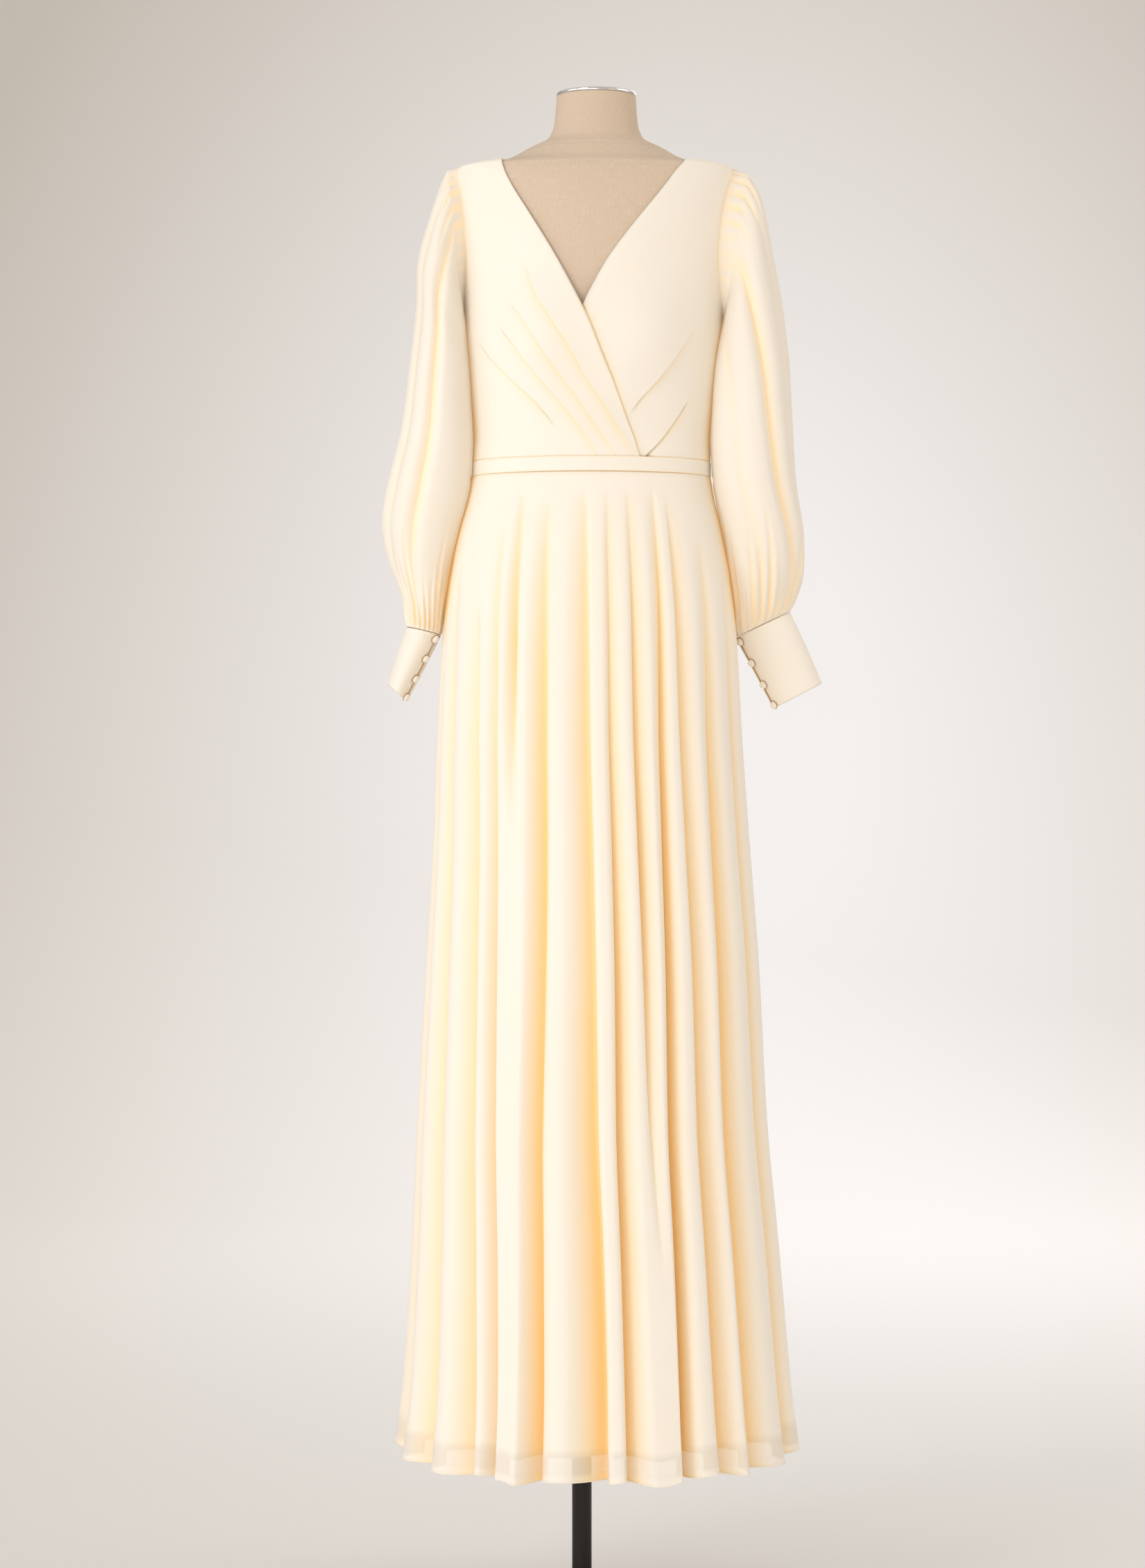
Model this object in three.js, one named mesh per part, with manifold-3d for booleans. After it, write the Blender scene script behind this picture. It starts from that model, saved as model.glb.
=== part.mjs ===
// A long-sleeved wrap-front maxi dress in pleated chiffon, standing on a linen dress form with a
// round metal base. Millimetres, +Z up, the front of the dress faces -Y.
// The origin is the centre of the base's underside, on the axis of the pole.
import * as THREE from "three";
import Module from "manifold-3d";
import { mergeVertices } from "three/addons/utils/BufferGeometryUtils.js";

const wasm = await Module();
wasm.setup();

// ---------------------------------------------------------------- driving dimensions

const DEGREE = Math.PI / 180;
const SEAM_GAP = 0.3; // between two pieces that are sewn together
const SEAM_ANGLE = 0.12; // degrees each side of a vertical seam, about half the gap
const EASE = 1.3; // between the form and the bodice
const BODICE_CLOTH = 1.2; // chiffon on its backing
const SKIRT_CLOTH = 1.2;
const LINING_CLOTH = 1.0;
const SLEEVE_CLOTH = 1.1;
const CUFF_CLOTH = 1.8;
const BAND_CLOTH = 2.0;

const GARMENT_X = 14; // the form's centre stands this far beside the pole
const WAIST_TOP = 1331; // upper edge of the waistband
const WAIST_BOTTOM = 1313.5; // lower edge of the waistband
const HEM = 197; // hem height above the floor
const LINING_SHORTER = 27; // the lining ends this much above the hem
const ARMHOLE_LOW = 1496;
const SHOULDER_TIP = 1671;
const BACK_NECK_DROP = 80; // depth of the V of the back neckline
const NECK_POINT = { halfWidth: 108, height: 1680 };
const WRAP_LIFT = 2.8; // the upper front lies this much further out where it crosses

const BASE = { radius: 185, thickness: 10, edge: 3 };
const HUB = { radius: 34, top: 15.5, height: 34 };
const POLE_RADIUS = 11.3;
const FORM_PLATE = { radius: 62, thickness: 8 };
const NECK_CAP = { radius: 45.8, thickness: 4, chamfer: 0.9 };
const COVERED_BUTTON = { radius: 4.2, height: 3.6 };

// The form: half width, depth to the front, depth to the back and sideways drift at each height.
const FORM = [
  { z: 1080, width: 146, front: 110, back: 114, drift: -5 },
  { z: 1130, width: 148, front: 113, back: 118, drift: -5 },
  { z: 1180, width: 146, front: 110, back: 113, drift: -5 },
  { z: 1240, width: 140, front: 101, back: 101, drift: -4.5 },
  { z: 1290, width: 135, front: 93, back: 91, drift: -4 },
  { z: 1322, width: 133, front: 90, back: 88, drift: -4 },
  { z: 1360, width: 135, front: 92, back: 88, drift: -3.2 },
  { z: 1400, width: 139.5, front: 97, back: 90, drift: -2.5 },
  { z: 1440, width: 144.5, front: 102, back: 94, drift: -1.7 },
  { z: 1480, width: 147, front: 105, back: 97, drift: -1 },
  { z: 1520, width: 147, front: 106, back: 99, drift: -0.4 },
  { z: 1560, width: 147, front: 104, back: 100, drift: 0 },
  { z: 1600, width: 149, front: 99, back: 100, drift: 0.5 },
  { z: 1640, width: 153, front: 89, back: 95, drift: 1 },
  { z: 1660, width: 156, front: 80, back: 86, drift: 1.4 },
  { z: 1668.5, width: 156.5, front: 74, back: 80, drift: 1.6 },
  { z: 1678, width: 106.5, front: 66, back: 70, drift: 1.8 },
  { z: 1692.5, width: 78, front: 57, back: 58, drift: 2 },
  { z: 1704.5, width: 55, front: 50, back: 50, drift: 2.2 },
  { z: 1721, width: 48.4, front: 47, back: 47, drift: 2.4 },
  { z: 1753, width: 45.6, front: 45.6, back: 45.6, drift: 2.6 },
];
const BUST = { height: 1468, side: 72, spread: 42, rise: 52, depth: 20, bridge: 0.55 };

// Neckline edges of the two crossing fronts: distance from the centre at each height. The upper
// front starts at the viewer's left shoulder and the under front at the right one.
const OVER_EDGE = [
  { z: 1331, x: 51 },
  { z: 1352, x: 44.5 },
  { z: 1372, x: 37 },
  { z: 1415, x: 22 },
  { z: 1452, x: 6.3 },
  { z: 1478, x: -4.6 },
  { z: 1514, x: -22.3 },
  { z: 1560, x: -46.2 },
  { z: 1604, x: -72.3 },
  { z: 1640, x: -94 },
  { z: 1660, x: -103.5 },
  { z: 1671, x: -106.5 },
  { z: 1680, x: -108 },
];
const UNDER_EDGE = [
  { z: 1331, x: -51 },
  { z: 1372, x: -45 },
  { z: 1415, x: -36 },
  { z: 1452, x: -27 },
  { z: 1478, x: -20 },
  { z: 1501, x: -12.4 },
  { z: 1525, x: -0.5 },
  { z: 1553, x: 15.5 },
  { z: 1594, x: 45.5 },
  { z: 1617, x: 63.6 },
  { z: 1638, x: 79.9 },
  { z: 1658, x: 94.1 },
  { z: 1671, x: 104.5 },
  { z: 1680, x: 107.6 },
];

// Where each tuck runs, as a share of the way from the neckline edge to the outer edge.
const OVER_TUCK_LINES = [
  { z: 1331, t1: 0.03, t2: 0.136, t3: 0.247, t4: 0.4 },
  { z: 1360, t1: 0.069, t2: 0.194, t3: 0.301, t4: 0.45 },
  { z: 1391, t1: 0.113, t2: 0.257, t3: 0.384, t4: 0.543 },
  { z: 1420, t1: 0.175, t2: 0.338, t3: 0.486, t4: 0.681 },
  { z: 1452, t1: 0.22, t2: 0.42, t3: 0.594, t4: 0.834 },
  { z: 1478, t1: 0.284, t2: 0.49, t3: 0.696, t4: 0.9 },
  { z: 1514, t1: 0.346, t2: 0.598, t3: 0.76, t4: 0.89 },
  { z: 1552, t1: 0.361, t2: 0.58, t3: 0.73, t4: 0.86 },
  { z: 1600, t1: 0.35, t2: 0.55, t3: 0.71, t4: 0.84 },
];
const OVER_TUCKS = [
  { line: "t1", start: 1556, end: 1300, height: 3, columns: 3 },
  { line: "t2", start: 1514, end: 1300, height: 2.8, columns: 3 },
  { line: "t3", start: 1486, end: 1300, height: 2.6, columns: 3 },
  { line: "t4", start: 1468, end: 1352, height: 2.2, columns: 3 },
];
const UNDER_TUCK_LINES = [
  { z: 1331, t1: 0.35, t2: 0.593 },
  { z: 1360, t1: 0.42, t2: 0.72 },
  { z: 1391, t1: 0.5, t2: 0.807 },
  { z: 1420, t1: 0.61, t2: 0.865 },
  { z: 1452, t1: 0.716, t2: 0.9 },
  { z: 1478, t1: 0.79, t2: 0.92 },
  { z: 1514, t1: 0.8, t2: 0.92 },
  { z: 1600, t1: 0.78, t2: 0.9 },
];
const UNDER_TUCKS = [
  { line: "t1", start: 1484, end: 1382, height: 2.6, columns: 6 },
  { line: "t2", start: 1408, end: 1300, height: 1.4, columns: 3 },
];
const BODICE_ROWS = [
  1679, 1675, 1671.4, 1668, 1658, 1642, 1620, 1592, 1562, 1534, 1512, 1499, 1480, 1458, 1434, 1408,
  1382, 1356, 1331.3,
];
const BACK_ROWS = [
  1679, 1675, 1671.4, 1668, 1657, 1642, 1626, 1611, 1599, 1565, 1536, 1517, 1506, 1498, 1460, 1400,
  1331.3,
];
const SIDE_COLUMNS = 6; // mesh columns from the last tuck to the side seam
const BACK_COLUMNS = 8;
const TUCK_STEP = 3; // millimetres from the lip of a tuck to the cloth it lies on
const TUCK_FADE = 46; // length over which a tuck rises from nothing

// The skirt's outline: half width, front depth, back depth and sideways drift at each height.
const SKIRT = [
  { z: 1313.2, width: 138.8, front: 94.4, back: 92.4, drift: -4 },
  { z: 1290, width: 142.5, front: 103, back: 102, drift: -4 },
  { z: 1250, width: 152, front: 118, back: 120, drift: -4.5 },
  { z: 1186, width: 163.6, front: 132, back: 136, drift: -5 },
  { z: 1139, width: 169, front: 140, back: 145, drift: -5 },
  { z: 1025, width: 175.6, front: 155, back: 160, drift: -5 },
  { z: 905, width: 182, front: 171, back: 175, drift: -3 },
  { z: 745, width: 192.8, front: 192, back: 194, drift: -1.5 },
  { z: 585, width: 201.6, front: 212, back: 212, drift: -2 },
  { z: 425, width: 212.8, front: 230, back: 228, drift: 1.6 },
  { z: 265, width: 225.2, front: 247, back: 243, drift: 3.6 },
  { z: 197, width: 234, front: 255, back: 250, drift: 3.6 },
];

const WHOLE = Infinity; // a valley that runs to the hem

// The skirt's valleys between flutes, once round from the centre back: angle from the front at
// the waist and at the hem, the share of the length where each starts and ends, its depth at the
// hem and how many degrees its bottom slants sideways.
const SKIRT_VALLEYS = [
  { waist: -169, hem: -169, start: 0.04, end: WHOLE, depth: 40, lean: 10 },
  { waist: -153, hem: -154, start: 0.05, end: WHOLE, depth: 44, lean: -8 },
  { waist: -138, hem: -139, start: 0.03, end: WHOLE, depth: 38, lean: 10 },
  { waist: -124, hem: -126, start: 0.06, end: WHOLE, depth: 44, lean: 0 },
  { waist: -110, hem: -114, start: 0.05, end: WHOLE, depth: 36, lean: -10 },
  { waist: -97, hem: -103, start: 0.08, end: WHOLE, depth: 34, lean: 0 },
  { waist: -83, hem: -79, start: 0.08, end: WHOLE, depth: 34, lean: 6 },
  { waist: -69, hem: -59, start: 0.1, end: WHOLE, depth: 32, lean: 10 },
  { waist: -52, hem: -38.8, start: 0.13, end: WHOLE, depth: 40, lean: 12 },
  { waist: -39.5, hem: -31.4, start: 0.05, end: WHOLE, depth: 30, lean: 10 },
  { waist: -29, hem: -25.5, start: 0.03, end: 0.24, depth: 28, lean: 0 },
  { waist: -18, hem: -20.9, start: 0.03, end: WHOLE, depth: 44, lean: 12 },
  { waist: -2.5, hem: -0.2, start: 0.02, end: WHOLE, depth: 38, lean: 14 },
  { waist: 7.5, hem: 10.9, start: 0.02, end: WHOLE, depth: 38, lean: -12 },
  { waist: 17, hem: 23.2, start: 0.02, end: WHOLE, depth: 38, lean: -12 },
  { waist: 28, hem: 31.5, start: 0.06, end: 0.42, depth: 30, lean: 8 },
  { waist: 37.4, hem: 40.5, start: 0.04, end: WHOLE, depth: 42, lean: -10 },
  { waist: 53.5, hem: 49.8, start: 0.07, end: WHOLE, depth: 38, lean: 10 },
  { waist: 70, hem: 74, start: 0.1, end: WHOLE, depth: 28, lean: 8 },
  { waist: 84, hem: 88, start: 0.1, end: WHOLE, depth: 32, lean: 0 },
  { waist: 97, hem: 99, start: 0.08, end: WHOLE, depth: 36, lean: 0 },
  { waist: 110, hem: 110, start: 0.05, end: WHOLE, depth: 38, lean: 8 },
  { waist: 124, hem: 123, start: 0.06, end: WHOLE, depth: 42, lean: -10 },
  { waist: 138, hem: 138, start: 0.04, end: WHOLE, depth: 40, lean: 8 },
  { waist: 153, hem: 154, start: 0.05, end: WHOLE, depth: 42, lean: 0 },
  { waist: 169, hem: 169, start: 0.04, end: WHOLE, depth: 40, lean: -10 },
];
const VALLEY_GROWTH = 0.75; // power of the length at which a valley deepens
const SKIRT_ROWS = [0, 0.05, 0.12, 0.2, 0.3, 0.42, 0.6, 0.8, 1];
const LINING_ROWS = [0, 0.05, 0.12, 0.2, 0.42, 0.7, 1 - LINING_SHORTER / (SKIRT[0].z - HEM)];
const FLUTE_COLUMNS = 4; // mesh columns from one valley to the next

// Sleeves, from the armhole to the cuff. Each section is a tilted oval between an inner and an
// outer point (distance from the centre, height), reaching to the front and back.
const SLEEVE_RIGHT = [
  { innerX: 148, innerZ: 1488, outerX: 178, outerZ: 1665.5, front: -43, back: 39, fold: 0.5 },
  { innerX: 145, innerZ: 1480, outerX: 190, outerZ: 1646, front: -49, back: 45, fold: 0.8 },
  { innerX: 142, innerZ: 1469, outerX: 199, outerZ: 1616, front: -58, back: 48, fold: 1 },
  { innerX: 139, innerZ: 1453, outerX: 207, outerZ: 1570, front: -68, back: 45, fold: 1 },
  { innerX: 136, innerZ: 1430, outerX: 217, outerZ: 1512, front: -74, back: 42, fold: 1 },
  { innerX: 135, innerZ: 1395, outerX: 225, outerZ: 1446, front: -75, back: 40, fold: 1 },
  { innerX: 134, innerZ: 1350, outerX: 229, outerZ: 1380, front: -72, back: 42, fold: 1 },
  { innerX: 137, innerZ: 1300, outerX: 234, outerZ: 1310, front: -65, back: 48, fold: 1 },
  { innerX: 146, innerZ: 1246, outerX: 244, outerZ: 1250, front: -54, back: 58, fold: 0.9 },
  { innerX: 153, innerZ: 1198, outerX: 244, outerZ: 1206, front: -38, back: 66, fold: 0.7 },
  { innerX: 160, innerZ: 1152, outerX: 236.5, outerZ: 1180, front: -14, back: 64, fold: 0.3 },
  { innerX: 164.3, innerZ: 1130.3, outerX: 228.2, outerZ: 1160.8, front: 5, back: 55, fold: 0 },
];
const SLEEVE_LEFT = [
  { innerX: 148, innerZ: 1488, outerX: 169, outerZ: 1667, front: -42, back: 39, fold: 0.5 },
  { innerX: 145, innerZ: 1480, outerX: 179, outerZ: 1645, front: -48, back: 45, fold: 0.8 },
  { innerX: 143, innerZ: 1469, outerX: 192, outerZ: 1606, front: -58, back: 48, fold: 1 },
  { innerX: 142, innerZ: 1453, outerX: 203, outerZ: 1562, front: -66, back: 45, fold: 1 },
  { innerX: 141, innerZ: 1430, outerX: 205, outerZ: 1506, front: -73, back: 42, fold: 1 },
  { innerX: 140, innerZ: 1395, outerX: 213, outerZ: 1436, front: -74, back: 40, fold: 1 },
  { innerX: 138, innerZ: 1350, outerX: 222, outerZ: 1370, front: -71, back: 42, fold: 1 },
  { innerX: 140, innerZ: 1300, outerX: 238, outerZ: 1306, front: -64, back: 48, fold: 1 },
  { innerX: 151, innerZ: 1250, outerX: 245, outerZ: 1262, front: -55, back: 58, fold: 0.9 },
  { innerX: 163, innerZ: 1204, outerX: 239, outerZ: 1220, front: -44, back: 62, fold: 0.7 },
  { innerX: 173, innerZ: 1156, outerX: 222, outerZ: 1176, front: -30, back: 54, fold: 0.3 },
  { innerX: 177, innerZ: 1132.8, outerX: 217, outerZ: 1142.3, front: -20, back: 46, fold: 0 },
];
const CUFF_RIGHT = [
  { innerX: 164.3, innerZ: 1129.4, outerX: 228.2, outerZ: 1159.9, front: 5, back: 55 },
  { innerX: 187, innerZ: 1088.5, outerX: 248, outerZ: 1118.5, front: 7, back: 58 },
  { innerX: 208.8, innerZ: 1047.6, outerX: 265.6, outerZ: 1077, front: 8, back: 60 },
];
const CUFF_LEFT = [
  { innerX: 177, innerZ: 1131.9, outerX: 217, outerZ: 1141.4, front: -20, back: 46 },
  { innerX: 197, innerZ: 1094, outerX: 229.5, outerZ: 1109, front: -4, back: 66 },
  { innerX: 217.6, innerZ: 1056.5, outerX: 241, outerZ: 1076.5, front: 12, back: 86 },
];
// Long folds of each sleeve: angle round the sleeve (0 front, 90 outer side) at the head and at
// the cuff, the depth, and the angle over which the cloth falls to the bottom of the fold.
const SLEEVE_FOLDS = {
  right: [
    { head: -150, cuff: -112, depth: 6, spread: 26 },
    { head: -95, cuff: -24, depth: 6, spread: 28 },
    { head: -49, cuff: 38, depth: 11, spread: 20 },
    { head: 12, cuff: 74, depth: 6, spread: 26 },
    { head: 75, cuff: 120, depth: 7, spread: 26 },
    { head: 140, cuff: 165, depth: 7, spread: 26 },
  ],
  left: [
    { head: -150, cuff: -135, depth: 6, spread: 26 },
    { head: -85, cuff: -72, depth: 6, spread: 28 },
    { head: -38, cuff: -28, depth: 7, spread: 22 },
    { head: 10, cuff: 12, depth: 10, spread: 20 },
    { head: 60, cuff: 56, depth: 6, spread: 26 },
    { head: 112, cuff: 106, depth: 7, spread: 26 },
    { head: 166, cuff: 165, depth: 7, spread: 24 },
  ],
};
const SLEEVE_CLEAR = 3.2; // between a sleeve and the body or skirt beside it
const SLEEVE_COLUMNS = 40;
const CUFF_GATHER = { depth: 2.6, above: 70 }; // every second column is drawn in
const HEAD_GATHER = { depth: 2.2, below: 60 };
const CUFF_OPENING = { right: -72, left: -58 }; // angle of the buttoned edge
const CUFF_COLUMNS = 24;
const BUTTONS_PER_CUFF = 4;
const BUTTON_MARGIN = 0.1; // share of the cuff's length above the first button

const CREAM = { color: 0xfff3dc, roughness: 0.85, metalness: 0 };
const FINISH = {
  chiffon: new THREE.MeshStandardMaterial(CREAM),
  lining: new THREE.MeshStandardMaterial({ ...CREAM, color: 0xf6e6c6 }),
  button: new THREE.MeshStandardMaterial({ ...CREAM, color: 0xfbecd0, roughness: 0.6 }),
  linen: new THREE.MeshStandardMaterial({ color: 0xc8af8c, roughness: 0.95, metalness: 0 }),
  chrome: new THREE.MeshStandardMaterial({ color: 0xc9c9cb, roughness: 0.15, metalness: 1 }),
  blackMetal: new THREE.MeshStandardMaterial({ color: 0x231f1c, roughness: 0.45, metalness: 0.6 }),
  zip: new THREE.MeshStandardMaterial({ color: 0xf3e4c8, roughness: 0.35, metalness: 0.3 }),
};

// ---------------------------------------------------------------- helpers

// Reads one column of a size table at any height, along a smooth curve without overshoot.
function sizeAt(table, column, height) {
  const up = table[0].z < table[table.length - 1].z ? table : [...table].reverse();
  const last = up.length - 1;
  if (height <= up[0].z) return up[0][column];
  if (height >= up[last].z) return up[last][column];
  let i = 0;
  while (up[i + 1].z < height) i++;
  const rise = (k) => (up[k + 1][column] - up[k][column]) / (up[k + 1].z - up[k].z);
  const slope = (k) => {
    if (k === 0) return rise(0);
    if (k === last) return rise(last - 1);
    const product = rise(k - 1) * rise(k);
    return product <= 0 ? 0 : (2 * product) / (rise(k - 1) + rise(k));
  };
  const span = up[i + 1].z - up[i].z;
  const t = (height - up[i].z) / span;
  const from = up[i][column];
  const to = up[i + 1][column];
  const ease = t * t * (3 - 2 * t);
  const bend = t * (1 - t);
  return (
    from + (to - from) * ease + bend * span * (slope(i) * (1 - t) - slope(i + 1) * t)
  );
}

const clamp01 = (value) => Math.min(1, Math.max(0, value));
const smooth = (value) => clamp01(value) ** 2 * (3 - 2 * clamp01(value));

// How far the bust stands out at a place on the front. Cloth bridges the hollow between.
function bustRise(x, z, isCloth) {
  const side = Math.abs(x);
  const inside = isCloth && side < BUST.side;
  const dip = (1 - BUST.bridge) * Math.cos((Math.PI * side) / (2 * BUST.side)) ** 2;
  const across = inside ? 1 - dip : Math.exp(-(((side - BUST.side) / BUST.spread) ** 2));
  return BUST.depth * across * Math.exp(-(((z - BUST.height) / BUST.rise) ** 2));
}

// A point on the form's surface at an angle from the front (radians) and a height.
function formPoint(angle, z, isCloth) {
  const isFront = Math.cos(angle) > 0;
  const x = sizeAt(FORM, "width", z) * Math.sin(angle);
  const depth = sizeAt(FORM, isFront ? "front" : "back", z);
  const bust = isFront ? bustRise(x, z, isCloth) * Math.cos(angle) : 0;
  return new THREE.Vector3(x + sizeAt(FORM, "drift", z), -depth * Math.cos(angle) - bust, z);
}

// The same point moved outwards, square to the surface.
function bodicePoint(angle, z, out) {
  const step = 0.01;
  const at = formPoint(angle, z, true);
  const round = formPoint(angle + step, z, true).sub(formPoint(angle - step, z, true));
  const upward = formPoint(angle, z + step * 20, true).sub(formPoint(angle, z - step * 20, true));
  return at.add(round.cross(upward).normalize().multiplyScalar(out));
}

function armholeAngle(z, reach) {
  const middle = (ARMHOLE_LOW + SHOULDER_TIP) / 2;
  const half = (SHOULDER_TIP - ARMHOLE_LOW) / 2;
  const share = 1 - ((z - middle) / half) ** 2;
  const open = share > 0 ? reach * Math.sqrt(share) : 0;
  return 90 - Math.max(open, SEAM_ANGLE);
}

const ARMHOLE_FRONT = { right: 19, left: 10 }; // degrees that each armhole cuts into the front
const ARMHOLE_BACK = 20;
const ARMHOLE_INSET = 0.7; // degrees from the armhole's edge to the sleeve's head

// Points of a grid moved inwards, square to the cloth, by the same distance everywhere. Rows run
// from top to bottom and columns anticlockwise seen from above.
function movedIn(grid, distance, isTube) {
  const rows = grid.length;
  const columns = grid[0].length;
  const facet = (r, c) => {
    const next = (c + 1) % columns;
    const down = grid[r + 1][c].clone().add(grid[r + 1][next]).sub(grid[r][c]).sub(grid[r][next]);
    const round = grid[r][next].clone().add(grid[r + 1][next]).sub(grid[r][c]).sub(grid[r + 1][c]);
    return down.cross(round).normalize();
  };
  const facets = [];
  for (let r = 0; r < rows - 1; r++) {
    facets.push([]);
    for (let c = 0; c < (isTube ? columns : columns - 1); c++) facets[r].push(facet(r, c));
  }
  return grid.map((row, r) =>
    row.map((point, c) => {
      const around = [];
      for (const dr of [r - 1, r])
        for (const dc of [c - 1, c]) {
          const column = isTube ? (dc + columns) % columns : dc;
          if (facets[dr] && facets[dr][column]) around.push(facets[dr][column]);
        }
      const normal = new THREE.Vector3();
      around.forEach((n) => normal.add(n));
      normal.normalize();
      const lean = around.reduce((sum, n) => sum + n.dot(normal), 0) / around.length;
      return point.clone().addScaledVector(normal, -distance / Math.max(lean, 0.45));
    }),
  );
}

function geometryFrom(points, triangles) {
  const geometry = new THREE.BufferGeometry();
  geometry.setAttribute(
    "position",
    new THREE.Float32BufferAttribute(points.flatMap((p) => [p.x, p.y, p.z]), 3),
  );
  geometry.setIndex(triangles.flat());
  geometry.computeVertexNormals();
  return geometry;
}

// A closed cloth wall between an outer and an inner grid, with rims along the edges.
function clothBetween(outer, inner, isTube = false) {
  const rows = outer.length;
  const columns = outer[0].length;
  const half = rows * columns;
  const out = (r, c) => r * columns + (c % columns);
  const within = (r, c) => half + out(r, c);
  const triangles = [];
  const quad = (a, b, c, d) => triangles.push([a, b, c], [a, c, d]);
  const spans = isTube ? columns : columns - 1;
  for (let c = 0; c < spans; c++) {
    for (let r = 0; r < rows - 1; r++) {
      quad(out(r, c), out(r + 1, c), out(r + 1, c + 1), out(r, c + 1));
      quad(within(r, c), within(r, c + 1), within(r + 1, c + 1), within(r + 1, c));
    }
    quad(out(0, c), out(0, c + 1), within(0, c + 1), within(0, c));
    quad(out(rows - 1, c + 1), out(rows - 1, c), within(rows - 1, c), within(rows - 1, c + 1));
  }
  for (let r = 0; !isTube && r < rows - 1; r++) {
    const end = columns - 1;
    quad(out(r + 1, 0), out(r, 0), within(r, 0), within(r + 1, 0));
    quad(out(r, end), out(r + 1, end), within(r + 1, end), within(r, end));
  }
  return geometryFrom([...outer.flat(), ...inner.flat()], triangles);
}

function clothWall(outer, thickness, isTube = false) {
  return clothBetween(outer, movedIn(outer, thickness, isTube), isTube);
}

// A closed solid through rings, capped flat at both ends.
function solidLoft(rings) {
  const columns = rings[0].length;
  const points = rings.flat();
  const triangles = [];
  for (let r = 0; r < rings.length - 1; r++)
    for (let c = 0; c < columns; c++) {
      const next = (c + 1) % columns;
      const a = r * columns + c;
      const b = r * columns + next;
      triangles.push([a, a + columns, b + columns], [a, b + columns, b]);
    }
  const cap = (row, isTop) => {
    const centre = new THREE.Vector3();
    rings[row].forEach((p) => centre.addScaledVector(p, 1 / columns));
    const middle = points.push(centre) - 1;
    for (let c = 0; c < columns; c++) {
      const a = row * columns + c;
      const b = row * columns + ((c + 1) % columns);
      triangles.push(isTop ? [middle, a, b] : [middle, b, a]);
    }
  };
  cap(0, true);
  cap(rings.length - 1, false);
  return geometryFrom(points, triangles);
}

// A solid of revolution about +Z from a profile of radius and height pairs.
function turned(profile, segments) {
  const outline = profile.map(([radius, height]) => new THREE.Vector2(radius, height));
  return new THREE.LatheGeometry(outline, segments).rotateX(Math.PI / 2);
}

function joined(first, second) {
  const solid = (geometry) => {
    const bare = geometry.clone().deleteAttribute("normal").deleteAttribute("uv");
    const merged = mergeVertices(bare, 1e-4);
    return new wasm.Manifold(
      new wasm.Mesh({
        numProp: 3,
        vertProperties: merged.attributes.position.array,
        triVerts: new Uint32Array(merged.index.array),
      }),
    );
  };
  const mesh = solid(first).add(solid(second)).getMesh();
  const geometry = new THREE.BufferGeometry();
  geometry.setAttribute("position", new THREE.BufferAttribute(mesh.vertProperties, 3));
  geometry.setIndex(new THREE.BufferAttribute(mesh.triVerts, 1));
  geometry.computeVertexNormals();
  return geometry;
}

function named(name, geometry, material) {
  const mesh = new THREE.Mesh(geometry, material);
  mesh.name = name;
  return mesh;
}

// ---------------------------------------------------------------- bodice

// Height of the lip of a tuck at one row. Each band between two tucks rises to the lip of the next
// one and then drops onto the cloth below.
function tuckHeight(tuck, z) {
  if (!tuck) return 0;
  const rise = smooth((tuck.start - z) / TUCK_FADE) * smooth((z - tuck.end) / TUCK_FADE);
  const flatAtWaist = 0.45 + 0.55 * smooth((z - WAIST_TOP) / TUCK_FADE);
  return tuck.height * rise * flatAtWaist;
}

// A panel of the bodice from rows of places, each an angle, a height and a distance from the form.
function bodiceWall(rows) {
  const layer = (depth) =>
    rows.map((row) => row.map((at) => bodicePoint(at.angle, at.z, at.out - depth)));
  return clothBetween(layer(0), layer(BODICE_CLOTH));
}

function angleOf(x, z) {
  const halfWidth = sizeAt(FORM, "width", z) + EASE + BODICE_CLOTH;
  return Math.asin(Math.min(1, Math.max(-1, (x - sizeAt(FORM, "drift", z)) / halfWidth)));
}

function frontPanel({ side, edge, lines, tucks, lift }) {
  const rows = BODICE_ROWS.map((z) => {
    const halfWidth = sizeAt(FORM, "width", z) + EASE + BODICE_CLOTH;
    const drift = sizeAt(FORM, "drift", z);
    const edgeX = sizeAt(edge, "x", z);
    const outer = side * armholeAngle(z, side > 0 ? ARMHOLE_FRONT.right : ARMHOLE_FRONT.left) * DEGREE;
    const outerX = drift + halfWidth * Math.sin(outer);
    const guides = [edgeX, ...tucks.map((t) => edgeX + (outerX - edgeX) * sizeAt(lines, t.line, z))];
    const angles = [...guides.map((x) => angleOf(x, z)), outer];
    const row = [];
    angles.slice(0, -1).forEach((from, band) => {
      const to = angles[band + 1];
      const step = band === 0 ? 0 : Math.min(TUCK_STEP / halfWidth, Math.abs(to - from) * 0.3);
      const begin = from + Math.sign(to - from) * step;
      const height = tuckHeight(tucks[band], z);
      const columns = band === tucks.length ? SIDE_COLUMNS : tucks[band].columns;
      for (let c = 0; c <= columns; c++) {
        const q = 1 - (1 - c / columns) ** (band === tucks.length ? 1 : 1.5);
        const angle = begin + (to - begin) * q;
        const raised = lift * smooth((drift + halfWidth * Math.sin(angle) + 120) / 60);
        row.push({ angle, z, out: EASE + BODICE_CLOTH + raised + height * q * q });
      }
    });
    return side < 0 ? row.reverse() : row;
  });
  return bodiceWall(rows);
}

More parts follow.
